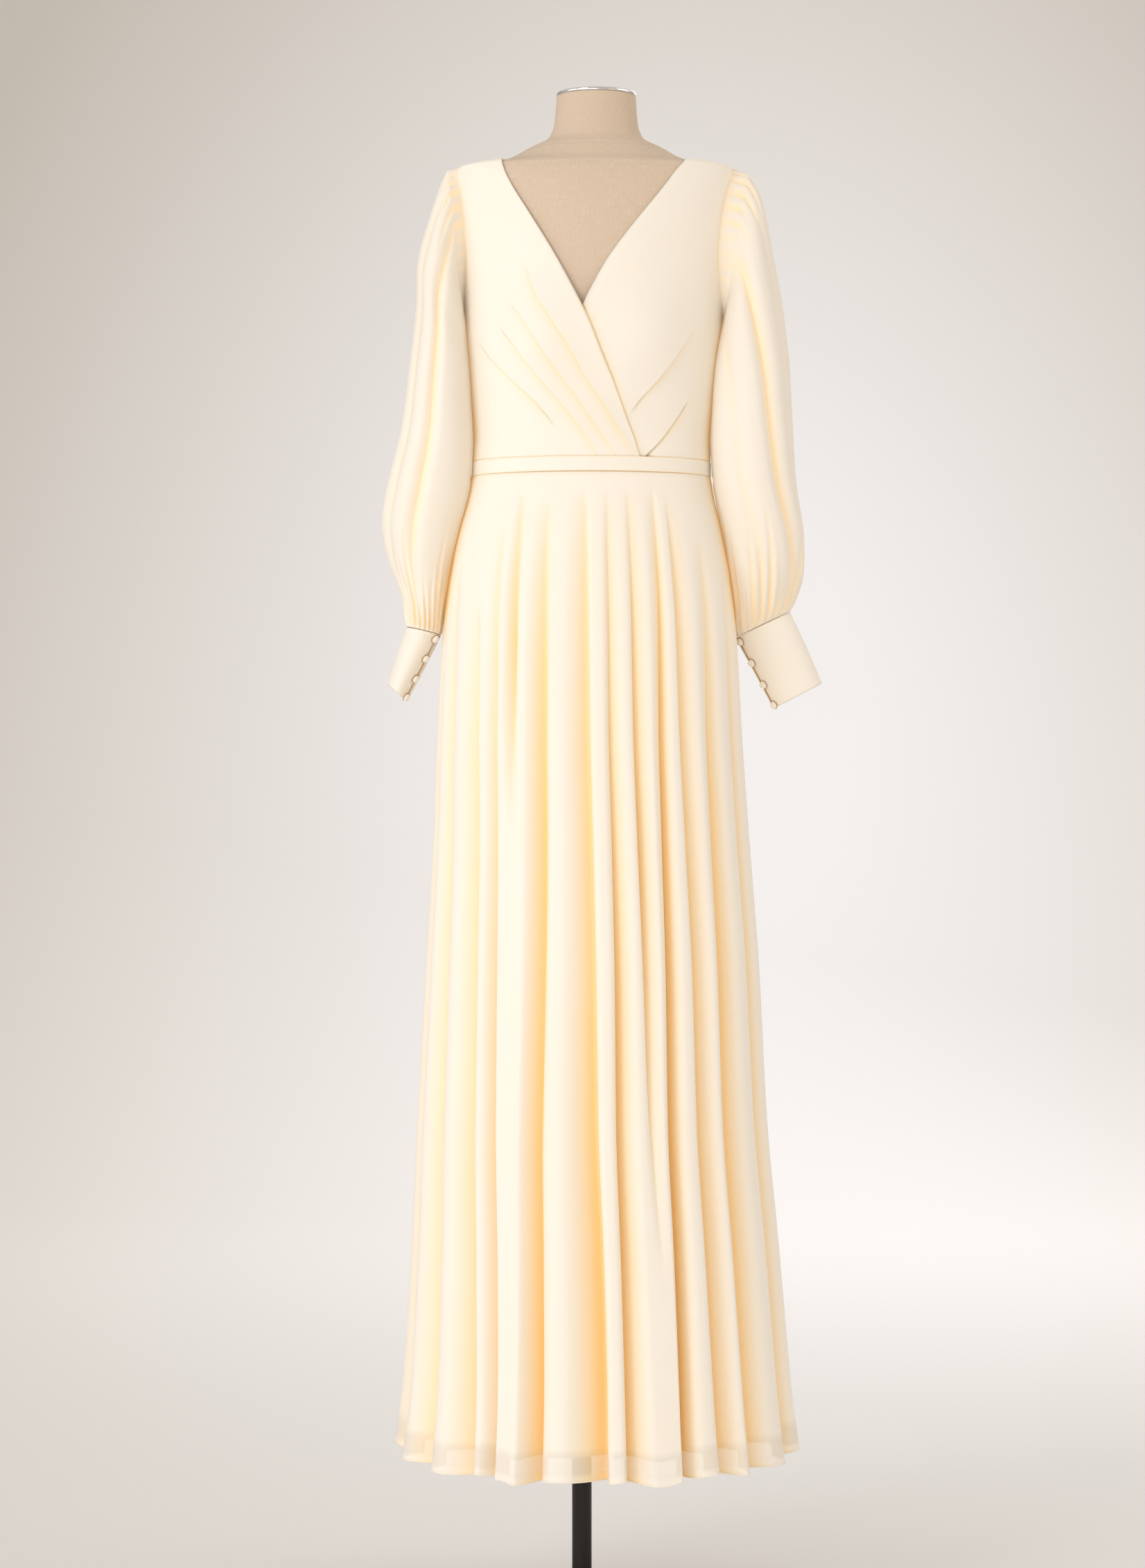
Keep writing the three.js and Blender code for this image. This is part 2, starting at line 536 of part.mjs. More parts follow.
// Half of the back, from the centre-back zip to the side seam, with half of a soft V neckline.
function backPanel(side) {
  const rows = BACK_ROWS.map((z) => {
    const drop = (NECK_POINT.height - z) / BACK_NECK_DROP;
    const neckX = drop < 1 ? NECK_POINT.halfWidth * (1 - drop) ** 0.8 : 0;
    const neck = side * angleOf(side * neckX + sizeAt(FORM, "drift", z), z);
    const inner = Math.PI - Math.max(neck, SEAM_ANGLE * DEGREE);
    const outer = Math.PI - armholeAngle(z, ARMHOLE_BACK) * DEGREE;
    const row = [];
    for (let c = 0; c <= BACK_COLUMNS; c++) {
      const angle = side * (outer + ((inner - outer) * c) / BACK_COLUMNS);
      row.push({ angle, z, out: EASE + BODICE_CLOTH });
    }
    return side < 0 ? row.reverse() : row;
  });
  return bodiceWall(rows);
}

// A stretch of the waistband between two angles from the front.
function waistband(from, to, columns) {
  const out = EASE + BODICE_CLOTH + WRAP_LIFT + 0.5;
  const layer = (depth) =>
    [WAIST_TOP, WAIST_BOTTOM].map((z) => {
      const row = [];
      for (let c = 0; c <= columns; c++) {
        const angle = from + SEAM_ANGLE + ((to - from - 2 * SEAM_ANGLE) * c) / columns;
        row.push(bodicePoint(angle * DEGREE, z, out - depth));
      }
      return row;
    });
  return clothBetween(layer(0), layer(BAND_CLOTH));
}

// ---------------------------------------------------------------- skirt

const skirtHeight = (share) => SKIRT[0].z + (HEM - SKIRT[0].z) * share;
const valleyAngle = (valley, share) => valley.waist + (valley.hem - valley.waist) * share;

function valleyDepth(valley, share) {
  const grown = clamp01((share - valley.start) / (1 - valley.start)) ** VALLEY_GROWTH;
  const fade = 1 - clamp01((share / valley.end - 0.476) / 0.524);
  return valley.depth * grown * fade;
}

// A point of the skirt: the outline pressed in by its nearest valley. The flute is counted from
// the valley before it and runs from 0 at that valley to 1 at the next.
function skirtPoint(flute, across, share) {
  const count = SKIRT_VALLEYS.length;
  const before = SKIRT_VALLEYS[flute % count];
  const after = SKIRT_VALLEYS[(flute + 1) % count];
  const from = valleyAngle(before, share);
  const wrap = flute % count === count - 1 ? 360 : 0;
  const to = valleyAngle(after, share) + wrap;
  const angle = (from + (to - from) * across) * DEGREE;
  const near = across < 0.5 ? before : after;
  const q = across < 0.5 ? across * 2 : 2 - across * 2;
  const press = valleyDepth(near, share) * (1 - q) ** 2;
  const z = skirtHeight(share);
  const isFront = Math.cos(angle) > 0;
  const width = sizeAt(SKIRT, "width", z);
  const depth = sizeAt(SKIRT, isFront ? "front" : "back", z);
  const sin = Math.sin(angle);
  const cos = Math.cos(angle);
  const slant = Math.tan(near.lean * DEGREE);
  return new THREE.Vector3(
    width * sin - press * (sin - slant * cos) + sizeAt(SKIRT, "drift", z),
    -depth * cos + press * (cos + slant * sin),
    z,
  );
}

// The whole skirt as rows of points, with a number of columns to each flute.
function skirtRing(shares, columnsEach) {
  return shares.map((share) => {
    const row = [];
    for (let flute = 0; flute < SKIRT_VALLEYS.length; flute++)
      for (let c = 0; c < columnsEach; c++) row.push(skirtPoint(flute, c / columnsEach, share));
    return row;
  });
}

// A skirt panel between two crests, cut from the ring with half a seam gap at each side.
function skirtPanel(fromFlute, toFlute) {
  const outer = skirtRing(SKIRT_ROWS, FLUTE_COLUMNS);
  const inner = movedIn(outer, SKIRT_CLOTH, true);
  const count = outer[0].length;
  const first = fromFlute * FLUTE_COLUMNS + FLUTE_COLUMNS / 2;
  const last = toFlute * FLUTE_COLUMNS + FLUTE_COLUMNS / 2;
  const cut = (ring) =>
    ring.map((row, r) => {
      const stretch = [];
      for (let c = first; c <= last; c++) stretch.push(row[c % count].clone());
      const along = (c) => outer[r][(c + 1) % count].clone().sub(outer[r][(c - 1) % count]);
      stretch[0].addScaledVector(along(first).normalize(), SEAM_GAP / 2);
      stretch[last - first].addScaledVector(along(last).normalize(), -SEAM_GAP / 2);
      return stretch;
    });
  return clothBetween(cut(outer), cut(inner));
}

// The lining repeats the flutes inside the skirt and hangs closer at the waist than below.
function skirtLining() {
  const outer = skirtRing(LINING_ROWS, 2);
  const near = movedIn(outer, SKIRT_CLOTH + 0.8, true);
  const free = movedIn(outer, SKIRT_CLOTH + 3, true);
  const grid = near.map((row, r) =>
    row.map((point, c) => point.lerp(free[r][c], smooth(LINING_ROWS[r] / 0.2))),
  );
  return clothWall(grid, LINING_CLOTH, true);
}

// The side seams and the centre-back zip lie on the crest after these flutes.
const LEFT_SIDE_SEAM = 5;
const RIGHT_SIDE_SEAM = 19;
const CENTRE_BACK_SEAM = 25;

// ---------------------------------------------------------------- sleeves and cuffs

// Moves a point out of the body and the skirt, so that the sleeve lies against them.
function besideBody(point, clearance) {
  const isSkirt = point.z < SKIRT[0].z;
  const table = isSkirt ? SKIRT : FORM;
  const cloth = isSkirt ? 0 : EASE + BODICE_CLOTH;
  const drift = sizeAt(table, "drift", point.z);
  const width = sizeAt(table, "width", point.z) + cloth + clearance;
  const depth = sizeAt(table, point.y < 0 ? "front" : "back", point.z) + cloth + clearance;
  const share = Math.hypot((point.x - drift) / width, point.y / depth);
  if (share >= 1 || point.z > ARMHOLE_LOW + 60) return point;
  point.x = drift + (point.x - drift) / share;
  point.y /= share;
  return point;
}

// A tilted oval of a sleeve or cuff. The angle runs from the front (0) to the viewer's right (90).
function ovalPoint(section, side, angle, drawnIn) {
  const middleX = (section.innerX + section.outerX) / 2;
  const middleZ = (section.innerZ + section.outerZ) / 2;
  const middleY = (section.front + section.back) / 2;
  const halfX = (section.outerX - section.innerX) / 2;
  const halfZ = (section.outerZ - section.innerZ) / 2;
  const halfY = (section.back - section.front) / 2;
  const shrink = 1 - drawnIn / Math.max(Math.hypot(halfX, halfZ) * 0.5 + halfY * 0.5, 1);
  const outward = side * Math.sin(angle) * shrink;
  return new THREE.Vector3(
    side * (middleX + halfX * outward),
    middleY - halfY * Math.cos(angle) * shrink,
    middleZ + halfZ * outward,
  );
}

// The armhole's loop on the bodice, a seam gap inside its edge.
function armholePoint(side, angle) {
  const middle = (ARMHOLE_LOW + SHOULDER_TIP) / 2;
  const half = (SHOULDER_TIP - ARMHOLE_LOW) / 2 - 0.8;
  const z = middle + half * side * Math.sin(angle);
  const isFront = Math.cos(angle) > 0;
  const frontReach = side > 0 ? ARMHOLE_FRONT.right : ARMHOLE_FRONT.left;
  const reach = (isFront ? frontReach : ARMHOLE_BACK) - ARMHOLE_INSET;
  const open = reach * Math.abs(Math.cos(angle));
  const around = isFront ? 90 - open : 90 + open;
  return bodicePoint(side * around * DEGREE, z, EASE + BODICE_CLOTH);
}

function sleeveFold(folds, angle, share) {
  let pressed = 0;
  for (const fold of folds) {
    const centre = fold.head + (fold.cuff - fold.head) * share;
    const away = Math.abs(((angle / DEGREE - centre + 540) % 360) - 180);
    const q = Math.min(away / fold.spread, 1);
    pressed += fold.depth * (1 - q) ** 2;
  }
  return pressed;
}

function sleeve(sections, side, folds) {
  const columnAngle = (c) => ((c / SLEEVE_COLUMNS) * 360 - 180) * DEGREE;
  const columns = [...Array(SLEEVE_COLUMNS).keys()];
  const cuffHeight = sections[sections.length - 1].outerZ;
  const grid = [columns.map((c) => armholePoint(side, columnAngle(c)))];
  sections.forEach((section, r) => {
    const share = r / (sections.length - 1);
    const fromHead = SHOULDER_TIP - section.outerZ;
    const fromCuff = section.outerZ - cuffHeight;
    grid.push(
      columns.map((c) => {
        const angle = columnAngle(c);
        const onTop = smooth(side * Math.sin(angle) * 2);
        const head = HEAD_GATHER.depth * onTop * (1 - smooth(fromHead / HEAD_GATHER.below));
        const gather = CUFF_GATHER.depth * (1 - smooth(fromCuff / CUFF_GATHER.above));
        const isLow = c % 2 === 1;
        const last = r === sections.length - 1 ? 0.3 : 1;
        const drawnIn = section.fold * sleeveFold(folds, side * angle, share);
        const pleated = isLow ? (head + gather) * last : -0.4 * (head + gather) * last;
        return besideBody(ovalPoint(section, side, angle, drawnIn + pleated), SLEEVE_CLEAR * last);
      }),
    );
  });
  return clothWall(grid, SLEEVE_CLOTH, true);
}

// The cuff is a band whose two ends nearly meet along the buttoned edge.
function cuff(sections, side, opening) {
  const gapAngle = 0.6;
  const grid = sections.map((section) => {
    const row = [];
    for (let c = 0; c <= CUFF_COLUMNS; c++) {
      const turn = gapAngle + ((360 - 2 * gapAngle) * c) / CUFF_COLUMNS;
      const point = ovalPoint(section, side, (opening + turn) * DEGREE, 0);
      row.push(besideBody(point, SLEEVE_CLEAR * 0.3));
    }
    return row;
  });
  return clothWall(grid, CUFF_CLOTH);
}

function between(first, second, share) {
  const mixed = {};
  for (const key of Object.keys(first)) mixed[key] = first[key] + (second[key] - first[key]) * share;
  return mixed;
}

// A domed button covered in cloth, standing on the cuff beside its opening.
function coveredButton(sections, side, opening, index) {
  const share = BUTTON_MARGIN + ((1 - 1.6 * BUTTON_MARGIN) * index) / (BUTTONS_PER_CUFF - 1);
  const length = sections.length - 1;
  const part = Math.min(Math.floor(share * length), length - 1);
  const section = between(sections[part], sections[part + 1], share * length - part);
  const beside = opening + side * 7;
  const at = (angle) => ovalPoint(section, side, angle * DEGREE, 0);
  const place = at(beside);
  const below = ovalPoint(sections[part + 1], side, beside * DEGREE, 0);
  const above = ovalPoint(sections[part], side, beside * DEGREE, 0);
  const normal = below.sub(above).cross(at(beside + 1).sub(at(beside - 1))).normalize();
  const { radius, height } = COVERED_BUTTON;
  const profile = [
    [0, 0],
    [radius * 0.7, 0],
    [radius, height * 0.4],
    [radius * 0.75, height * 0.85],
    [0, height],
  ];
  const geometry = turned(profile, 8);
  const turnTo = new THREE.Quaternion().setFromUnitVectors(new THREE.Vector3(0, 0, 1), normal);
  const mesh = named(`cuff_button_${side > 0 ? "right" : "left"}_${index + 1}`, geometry, FINISH.button);
  mesh.quaternion.copy(turnTo);
  mesh.position.copy(place).addScaledVector(normal, 0.45);
  return mesh;
}

// ---------------------------------------------------------------- centre-back zip

// The slider's bridge is a half ring round the bar of the pull tab, so the tab can swing on it.
const ZIP = { top: 1592, plateWidth: 5.6, plateHeight: 9, plateThick: 1.2, bridgeWidth: 1.5 };
const PULL = { width: 7, length: 21, thick: 1, bar: 1.1, eye: 3.2, eyeLength: 3.2 };
const BRIDGE = { inner: 1.3, outer: 2.1 };

function zipBack() {
  return bodicePoint(Math.PI, ZIP.top, EASE + BODICE_CLOTH).y;
}

function zipSlider() {
  const face = zipBack() + 0.4;
  const pivotY = face + ZIP.plateThick + BRIDGE.inner - 0.1;
  const plate = new THREE.BoxGeometry(ZIP.plateWidth, ZIP.plateThick, ZIP.plateHeight);
  plate.translate(0, face + ZIP.plateThick / 2, ZIP.top);
  // Side view of the bridge, drawn in (y, z) about the pivot.
  const bridge = new THREE.Shape();
  const foot = -(BRIDGE.inner + 0.3);
  bridge.moveTo(foot, -BRIDGE.outer);
  bridge.absarc(0, 0, BRIDGE.outer, -Math.PI / 2, Math.PI / 2, false);
  bridge.lineTo(foot, BRIDGE.outer);
  bridge.lineTo(foot, BRIDGE.inner);
  bridge.absarc(0, 0, BRIDGE.inner, Math.PI / 2, -Math.PI / 2, true);
  bridge.lineTo(foot, -BRIDGE.inner);
  bridge.closePath();
  const arch = new THREE.ExtrudeGeometry(bridge, {
    depth: ZIP.bridgeWidth,
    bevelEnabled: false,
    curveSegments: 8,
  });
  arch.translate(0, 0, -ZIP.bridgeWidth / 2);
  arch.rotateY(Math.PI / 2).rotateX(Math.PI / 2);
  arch.translate(0, pivotY, ZIP.top);
  return { geometry: joined(plate, arch), pivotY };
}

function zipPull(pivotY) {
  const half = PULL.width / 2;
  const outline = new THREE.Shape();
  const top = PULL.bar / 2;
  const low = top - PULL.length;
  outline.moveTo(-half * 0.75, top);
  outline.lineTo(-half * 0.75, top - 5);
  outline.lineTo(-half, low + half);
  outline.absarc(0, low + half, half, Math.PI, 2 * Math.PI, false);
  outline.lineTo(half * 0.75, top - 5);
  outline.lineTo(half * 0.75, top);
  outline.closePath();
  const eye = new THREE.Path();
  eye.moveTo(-PULL.eye / 2, -PULL.bar / 2);
  eye.lineTo(PULL.eye / 2, -PULL.bar / 2);
  eye.lineTo(PULL.eye / 2, -PULL.bar / 2 - PULL.eyeLength);
  eye.lineTo(-PULL.eye / 2, -PULL.bar / 2 - PULL.eyeLength);
  eye.closePath();
  outline.holes.push(eye);
  const tab = new THREE.ExtrudeGeometry(outline, {
    depth: PULL.thick,
    bevelEnabled: false,
    curveSegments: 8,
  });
  tab.translate(0, 0, -PULL.thick / 2);
  tab.rotateX(Math.PI / 2);
  return tab.translate(0, pivotY, ZIP.top);
}

// ---------------------------------------------------------------- dress form and stand

function formTorso() {
  const columns = 28;
  const heights = [
    1753, 1738, 1721, 1711, 1704.5, 1698, 1692.5, 1685, 1678, 1674, 1670.5, 1668.5, 1660, 1640, 1610,
    1575, 1540, 1510, 1485, 1460, 1435, 1405, 1365, 1322, 1285, 1240, 1185, 1130, 1080,
  ];
  const rings = heights.map((z) => {
    const ring = [];
    for (let c = 0; c < columns; c++) ring.push(formPoint((c / columns) * 2 * Math.PI, z, false));
    return ring;
  });
  return solidLoft(rings);
}

function standPieces() {
  const formFoot = FORM[0].z;
  const neckTop = FORM[FORM.length - 1].z;
  const plateFoot = formFoot - SEAM_GAP - FORM_PLATE.thickness;
  const hubFoot = BASE.thickness + SEAM_GAP;
  const bore = POLE_RADIUS + SEAM_GAP;
  const cap = turned(
    [
      [0, 0],
      [NECK_CAP.radius - NECK_CAP.chamfer, 0],
      [NECK_CAP.radius, NECK_CAP.chamfer],
      [NECK_CAP.radius, NECK_CAP.thickness - NECK_CAP.chamfer],
      [NECK_CAP.radius - 2 * NECK_CAP.chamfer, NECK_CAP.thickness],
      [0, NECK_CAP.thickness],
    ],
    28,
  ).translate(GARMENT_X + sizeAt(FORM, "drift", neckTop), 0, neckTop + SEAM_GAP);
  const plate = turned(
    [
      [0, 0],
      [FORM_PLATE.radius - 2, 0],
      [FORM_PLATE.radius, 2],
      [FORM_PLATE.radius, FORM_PLATE.thickness],
      [0, FORM_PLATE.thickness],
    ],
    24,
  ).translate(0, 0, plateFoot);
  const pole = turned(
    [
      [0, 0],
      [POLE_RADIUS, 0],
      [POLE_RADIUS, plateFoot - SEAM_GAP - hubFoot],
      [0, plateFoot - SEAM_GAP - hubFoot],
    ],
    24,
  ).translate(0, 0, hubFoot);
  const hub = turned(
    [
      [bore, 0],
      [HUB.radius, 0],
      [HUB.radius, 3],
      [HUB.top + 5, 10],
      [HUB.top, HUB.height - 2],
      [HUB.top - 1, HUB.height],
      [bore, HUB.height],
      [bore, 0],
    ],
    20,
  ).translate(0, 0, hubFoot);
  const base = turned(
    [
      [0, 0],
      [BASE.radius - 1, 0],
      [BASE.radius, 1],
      [BASE.radius, BASE.thickness - BASE.edge],
      [BASE.radius - BASE.edge, BASE.thickness],
      [0, BASE.thickness],
    ],
    36,
  );
  return [
    named("neck_cap", cap, FINISH.chrome),
    named("form_plate", plate, FINISH.blackMetal),
    named("pole", pole, FINISH.blackMetal),
    named("base_hub", hub, FINISH.blackMetal),
    named("base_disc", base, FINISH.blackMetal),
  ];
}

// ---------------------------------------------------------------- the whole part

const garment = new THREE.Group();
garment.position.x = GARMENT_X;

const overFront = frontPanel({
  side: -1,
  edge: OVER_EDGE,
  lines: OVER_TUCK_LINES,
  tucks: OVER_TUCKS,
  lift: WRAP_LIFT,
});
const underFront = frontPanel({
  side: 1,
  edge: UNDER_EDGE,
  lines: UNDER_TUCK_LINES,
  tucks: UNDER_TUCKS,
  lift: 0,
});
garment.add(
  named("bodice_front_over", overFront, FINISH.chiffon),
  named("bodice_front_under", underFront, FINISH.chiffon),
  named("bodice_back_right", backPanel(1), FINISH.chiffon),
  named("bodice_back_left", backPanel(-1), FINISH.chiffon),
  named("waistband_front", waistband(-90, 90, 20), FINISH.chiffon),
  named("waistband_back_right", waistband(90, 180, 9), FINISH.chiffon),
  named("waistband_back_left", waistband(-180, -90, 9), FINISH.chiffon),
);
garment.add(
  named("skirt_front", skirtPanel(LEFT_SIDE_SEAM, RIGHT_SIDE_SEAM), FINISH.chiffon),
  named("skirt_back_right", skirtPanel(RIGHT_SIDE_SEAM, CENTRE_BACK_SEAM), FINISH.chiffon),
  named(
    "skirt_back_left",
    skirtPanel(CENTRE_BACK_SEAM, LEFT_SIDE_SEAM + SKIRT_VALLEYS.length),
    FINISH.chiffon,
  ),
  named("skirt_lining", skirtLining(), FINISH.lining),
);

const arms = [
  { side: 1, name: "right", sleeve: SLEEVE_RIGHT, cuff: CUFF_RIGHT },
  { side: -1, name: "left", sleeve: SLEEVE_LEFT, cuff: CUFF_LEFT },
];
for (const arm of arms) {
  const opening = arm.side * CUFF_OPENING[arm.name];
  const cloth = sleeve(arm.sleeve, arm.side, SLEEVE_FOLDS[arm.name]);
  garment.add(named(`sleeve_${arm.name}`, cloth, FINISH.chiffon));
  garment.add(named(`cuff_${arm.name}`, cuff(arm.cuff, arm.side, opening), FINISH.chiffon));
  for (let i = 0; i < BUTTONS_PER_CUFF; i++)
    garment.add(coveredButton(arm.cuff, arm.side, opening, i));
}

const slider = zipSlider();
garment.add(
  named("zip_slider", slider.geometry, FINISH.zip),
  named("zip_pull_tab", zipPull(slider.pivotY), FINISH.zip),
);
garment.add(named("form_torso", formTorso(), FINISH.linen));

const root = new THREE.Group();
root.add(garment, ...standPieces());

export default root;
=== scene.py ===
# %% [markdown]
# # A wrap-front chiffon maxi dress on a dress form
#
# The dress is cut from cream polyester chiffon. Its bodice is backed, its sleeves are single and
# sheer, and its skirt hangs over a lining that stops just above the hem. It stands on a limbless
# linen-covered form with a black metal pole and base.
#
# Every piece below is worked out in millimetres from short tables of real sizes, then drawn in
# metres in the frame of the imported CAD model. The front of the dress faces -Y and +Z is up.

import math
from functools import partial

import bpy
import numpy as np
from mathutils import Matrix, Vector


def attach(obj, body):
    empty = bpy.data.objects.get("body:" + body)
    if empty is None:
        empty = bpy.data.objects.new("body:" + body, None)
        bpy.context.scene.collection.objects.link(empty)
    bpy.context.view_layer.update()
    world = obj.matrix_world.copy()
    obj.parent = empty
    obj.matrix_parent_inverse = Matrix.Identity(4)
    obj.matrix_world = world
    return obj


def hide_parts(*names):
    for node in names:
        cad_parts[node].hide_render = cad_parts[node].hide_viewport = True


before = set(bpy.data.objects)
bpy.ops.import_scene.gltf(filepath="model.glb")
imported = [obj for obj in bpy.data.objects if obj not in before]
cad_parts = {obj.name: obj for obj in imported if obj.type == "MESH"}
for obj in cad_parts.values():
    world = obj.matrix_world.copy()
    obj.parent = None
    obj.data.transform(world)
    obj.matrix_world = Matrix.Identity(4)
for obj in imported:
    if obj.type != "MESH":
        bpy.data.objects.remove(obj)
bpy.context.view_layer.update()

# %% [markdown]
# ## Camera
#
# A shop photographs a dress from waist height with a short telephoto lens. A wide lens close by
# would be easy to place too, but it would swell the skirt's middle and narrow hem and shoulders.

# %% Camera
DEGREE = math.pi / 180
EYE = (-0.0108, -4.3, 0.96)


def add_object(name, data):
    thing = bpy.data.objects.new(name, data)
    bpy.context.scene.collection.objects.link(thing)
    return thing


camera_data = bpy.data.cameras.new("camera")
camera_data.sensor_fit = "VERTICAL"
camera_data.sensor_height = 36
camera_data.lens = 85.5
camera_data.clip_end = 60
camera = add_object("camera", camera_data)
camera.location = EYE
camera.rotation_euler = (math.pi / 2, 0, 0)
bpy.context.scene.camera = camera
print("camera at", EYE, "lens", camera_data.lens)

# %% [markdown]
# ## A kit for materials
#
# Cloth, paper, metal and lacquer all differ a little from point to point. That could be painted on
# an image, but noise that nodes work out has no edges and no smallest size, so small helpers build
# every finish from nodes. What is the same all over is set on the shader's own sockets.

# %% Helpers for materials


def new_material(name, **constants):
    """A Principled material with its constant values set on the shader's own sockets."""
    material = bpy.data.materials.new(name)
    material.use_nodes = True
    shader = material.node_tree.nodes["Principled BSDF"]
    for socket, value in constants.items():
        shader.inputs[socket.replace("_", " ")].default_value = value
    return material, shader


def add_node(material, kind, settings=(), **inputs):
    """A node with its inputs set or linked."""
    node = material.node_tree.nodes.new(kind)
    for key, value in dict(settings).items():
        setattr(node, key, value)
    for key, value in inputs.items():
        socket = node.inputs[int(key[1:]) if key[1:].isdigit() else key.replace("_", " ")]
        if isinstance(value, bpy.types.NodeSocket):
            material.node_tree.links.new(value, socket)
        else:
            socket.default_value = value
    return node


def link(material, source, target):
    material.node_tree.links.new(source, target)


def sum_of(material, *terms):
    """Adds (socket, factor) pairs."""
    total = None
    for socket, factor in terms:
        scaled = add_node(material, "ShaderNodeMath", {"operation": "MULTIPLY"}, _0=socket, _1=factor)
        if total is None:
            total = scaled.outputs[0]
        else:
            added = add_node(material, "ShaderNodeMath", _0=total, _1=scaled.outputs[0])
            total = added.outputs[0]
    return total


def blend_colour(material, amount, first, second):
    mix = add_node(material, "ShaderNodeMix", {"data_type": "RGBA"}, _0=amount, _6=first, _7=second)
    return mix.outputs[2]


def in_range(material, value, low, high, to_low=0.0, to_high=1.0):
    ranged = add_node(
        material, "ShaderNodeMapRange", _0=value, _1=low, _2=high, _3=to_low, _4=to_high
    )
    return ranged.outputs[0]


def noise(material, scale, detail, vector=None):
    """Cloudy values, in the object's own space unless a vector is given."""
    node = add_node(material, "ShaderNodeTexNoise", Scale=scale, Detail=detail)
    if vector is not None:
        link(material, vector, node.inputs["Vector"])
    return node.outputs["Fac"]


def stretched(material, vector, factors):
    settings = {"operation": "MULTIPLY"}
    return add_node(material, "ShaderNodeVectorMath", settings, _0=vector, _1=factors).outputs[0]


def colour_between(material, shader, amount, first, second):
    """Gives the shader a base colour that runs from the first colour to the second."""
    link(material, blend_colour(material, amount, first, second), shader.inputs["Base Color"])


def add_relief(material, shader, height, strength, distance):
    bump = add_node(material, "ShaderNodeBump", Height=height, Strength=strength, Distance=distance)
    link(material, bump.outputs["Normal"], shader.inputs["Normal"])


# %% [markdown]
# ## Room and light
#
# The room is a paper sweep: a floor that curves up into a wall ten metres behind the form, so that
# no line shows behind the dress. The paper's colour is painted palest at the form and darker away
# from it: a painted falloff of light, as on a lit backdrop. Two soft lights from the front left shape
# the folds, weaker ones lift both sides and the back, and one lights the paper. A pale room fills the
# rest. The lights are disks, because a disk gives soft shadows without a direction of its own.

# %% The paper sweep
SWEEP_START = 4.0  # metres behind the pole where the floor begins to curve up
SWEEP_RADIUS = 6.0
SWEEP_SIDE = 14.0
SWEEP_TOP = 9.0
SWEEP_STEPS = 24


def smooth_object(name, points, faces, material):
    mesh = bpy.data.meshes.new(name)
    mesh.from_pydata(points, [], faces)
    mesh.polygons.foreach_set("use_smooth", [True] * len(mesh.polygons))
    mesh.materials.append(material)
    return add_object(name, mesh)


sweep_profile = [(-SWEEP_SIDE, 0.0), (SWEEP_START, 0.0)]
for step in range(1, SWEEP_STEPS + 1):
    turn = step / SWEEP_STEPS * math.pi / 2
    y = SWEEP_START + SWEEP_RADIUS * math.sin(turn)
    sweep_profile.append((y, SWEEP_RADIUS * (1 - math.cos(turn))))
sweep_profile.append((SWEEP_START + SWEEP_RADIUS, SWEEP_TOP))
sweep_vertices = [(x, y, z) for y, z in sweep_profile for x in (-SWEEP_SIDE, SWEEP_SIDE)]
sweep_faces = [(i, i + 1, i + 3, i + 2) for i in range(0, len(sweep_vertices) - 2, 2)]

paper, paper_shader = new_material("paper", Roughness=0.95)
paper_place = add_node(paper, "ShaderNodeTexCoord").outputs["Object"]
from_middle = add_node(
    paper, "ShaderNodeVectorMath", {"operation": "SUBTRACT"}, _0=paper_place, _1=(0.4, 0.0, 1.3)
).outputs[0]
spread = stretched(paper, from_middle, (1.0, 0.0, 0.72))
away = add_node(paper, "ShaderNodeVectorMath", {"operation": "LENGTH"}, _0=spread)
# Painted falloff of light: the paper's colour darkens away from the form.
painted_falloff = in_range(paper, away.outputs["Value"], 0.5, 3.0)
colour_between(paper, paper_shader, painted_falloff, (0.88, 0.885, 0.91, 1), (0.62, 0.585, 0.54, 1))
smooth_object("room_sweep", sweep_vertices, sweep_faces, paper)
print("sweep faces:", len(sweep_faces))

# %% Lights
LIGHTS = [
    # name, place, aim, size, watts, colour
    ("key", (-2.4, -3.1, 2.2), (0, 0, 1), 2.0, 46, (1.0, 0.99, 0.985)),
    ("front", (-0.8, -4.8, 1.3), (0, 0, 1), 2.4, 34, (1.0, 0.98, 0.95)),
    ("side", (-2.9, -0.9, 1.5), (0, 0, 1), 2.2, 13, (1.0, 0.98, 0.97)),
    ("fill", (2.9, -2.6, 1.2), (0, 0, 1), 2.2, 9, (1.0, 0.76, 0.44)),
    ("right", (2.6, -0.2, 2.2), (0, 0, 1), 2.2, 13, (1.0, 0.975, 0.97)),
    ("back", (1.9, 4.2, 3.3), (0, 0, 1), 2.0, 42, (1.0, 0.985, 0.96)),
    ("backdrop", (0.8, 3.0, 5.2), (0.5, 8.4, 2.4), 4.0, 165, (1.0, 0.98, 0.985)),
]
for name, place, aim, size, watts, colour in LIGHTS:
    lamp = bpy.data.lights.new(name, "AREA")
    lamp.shape = "DISK"
    lamp.size = size
    lamp.energy = watts
    lamp.color = colour
    holder = add_object(name, lamp)
    holder.location = place
    holder.rotation_euler = (Vector(aim) - Vector(place)).to_track_quat("-Z", "Y").to_euler()

world = bpy.data.worlds.new("pale room")
world.use_nodes = True
room = world.node_tree.nodes["Background"].inputs
room["Color"].default_value = (1.0, 0.94, 0.86, 1)
room["Strength"].default_value = 0.6
bpy.context.scene.world = world
bpy.context.scene.view_settings.view_transform = "Standard"
print("lights:", ", ".join(entry[0] for entry in LIGHTS))

# %% [markdown]
# ## Reading the size tables
#
# A pattern cutter works from measurements taken at known heights. The tables here do the same:
# each row gives the sizes at one height, and a smooth curve without overshoot runs between them.
# The form's table is shared by everything that lies on it, so the cloth follows the body.

# %% Tables of sizes


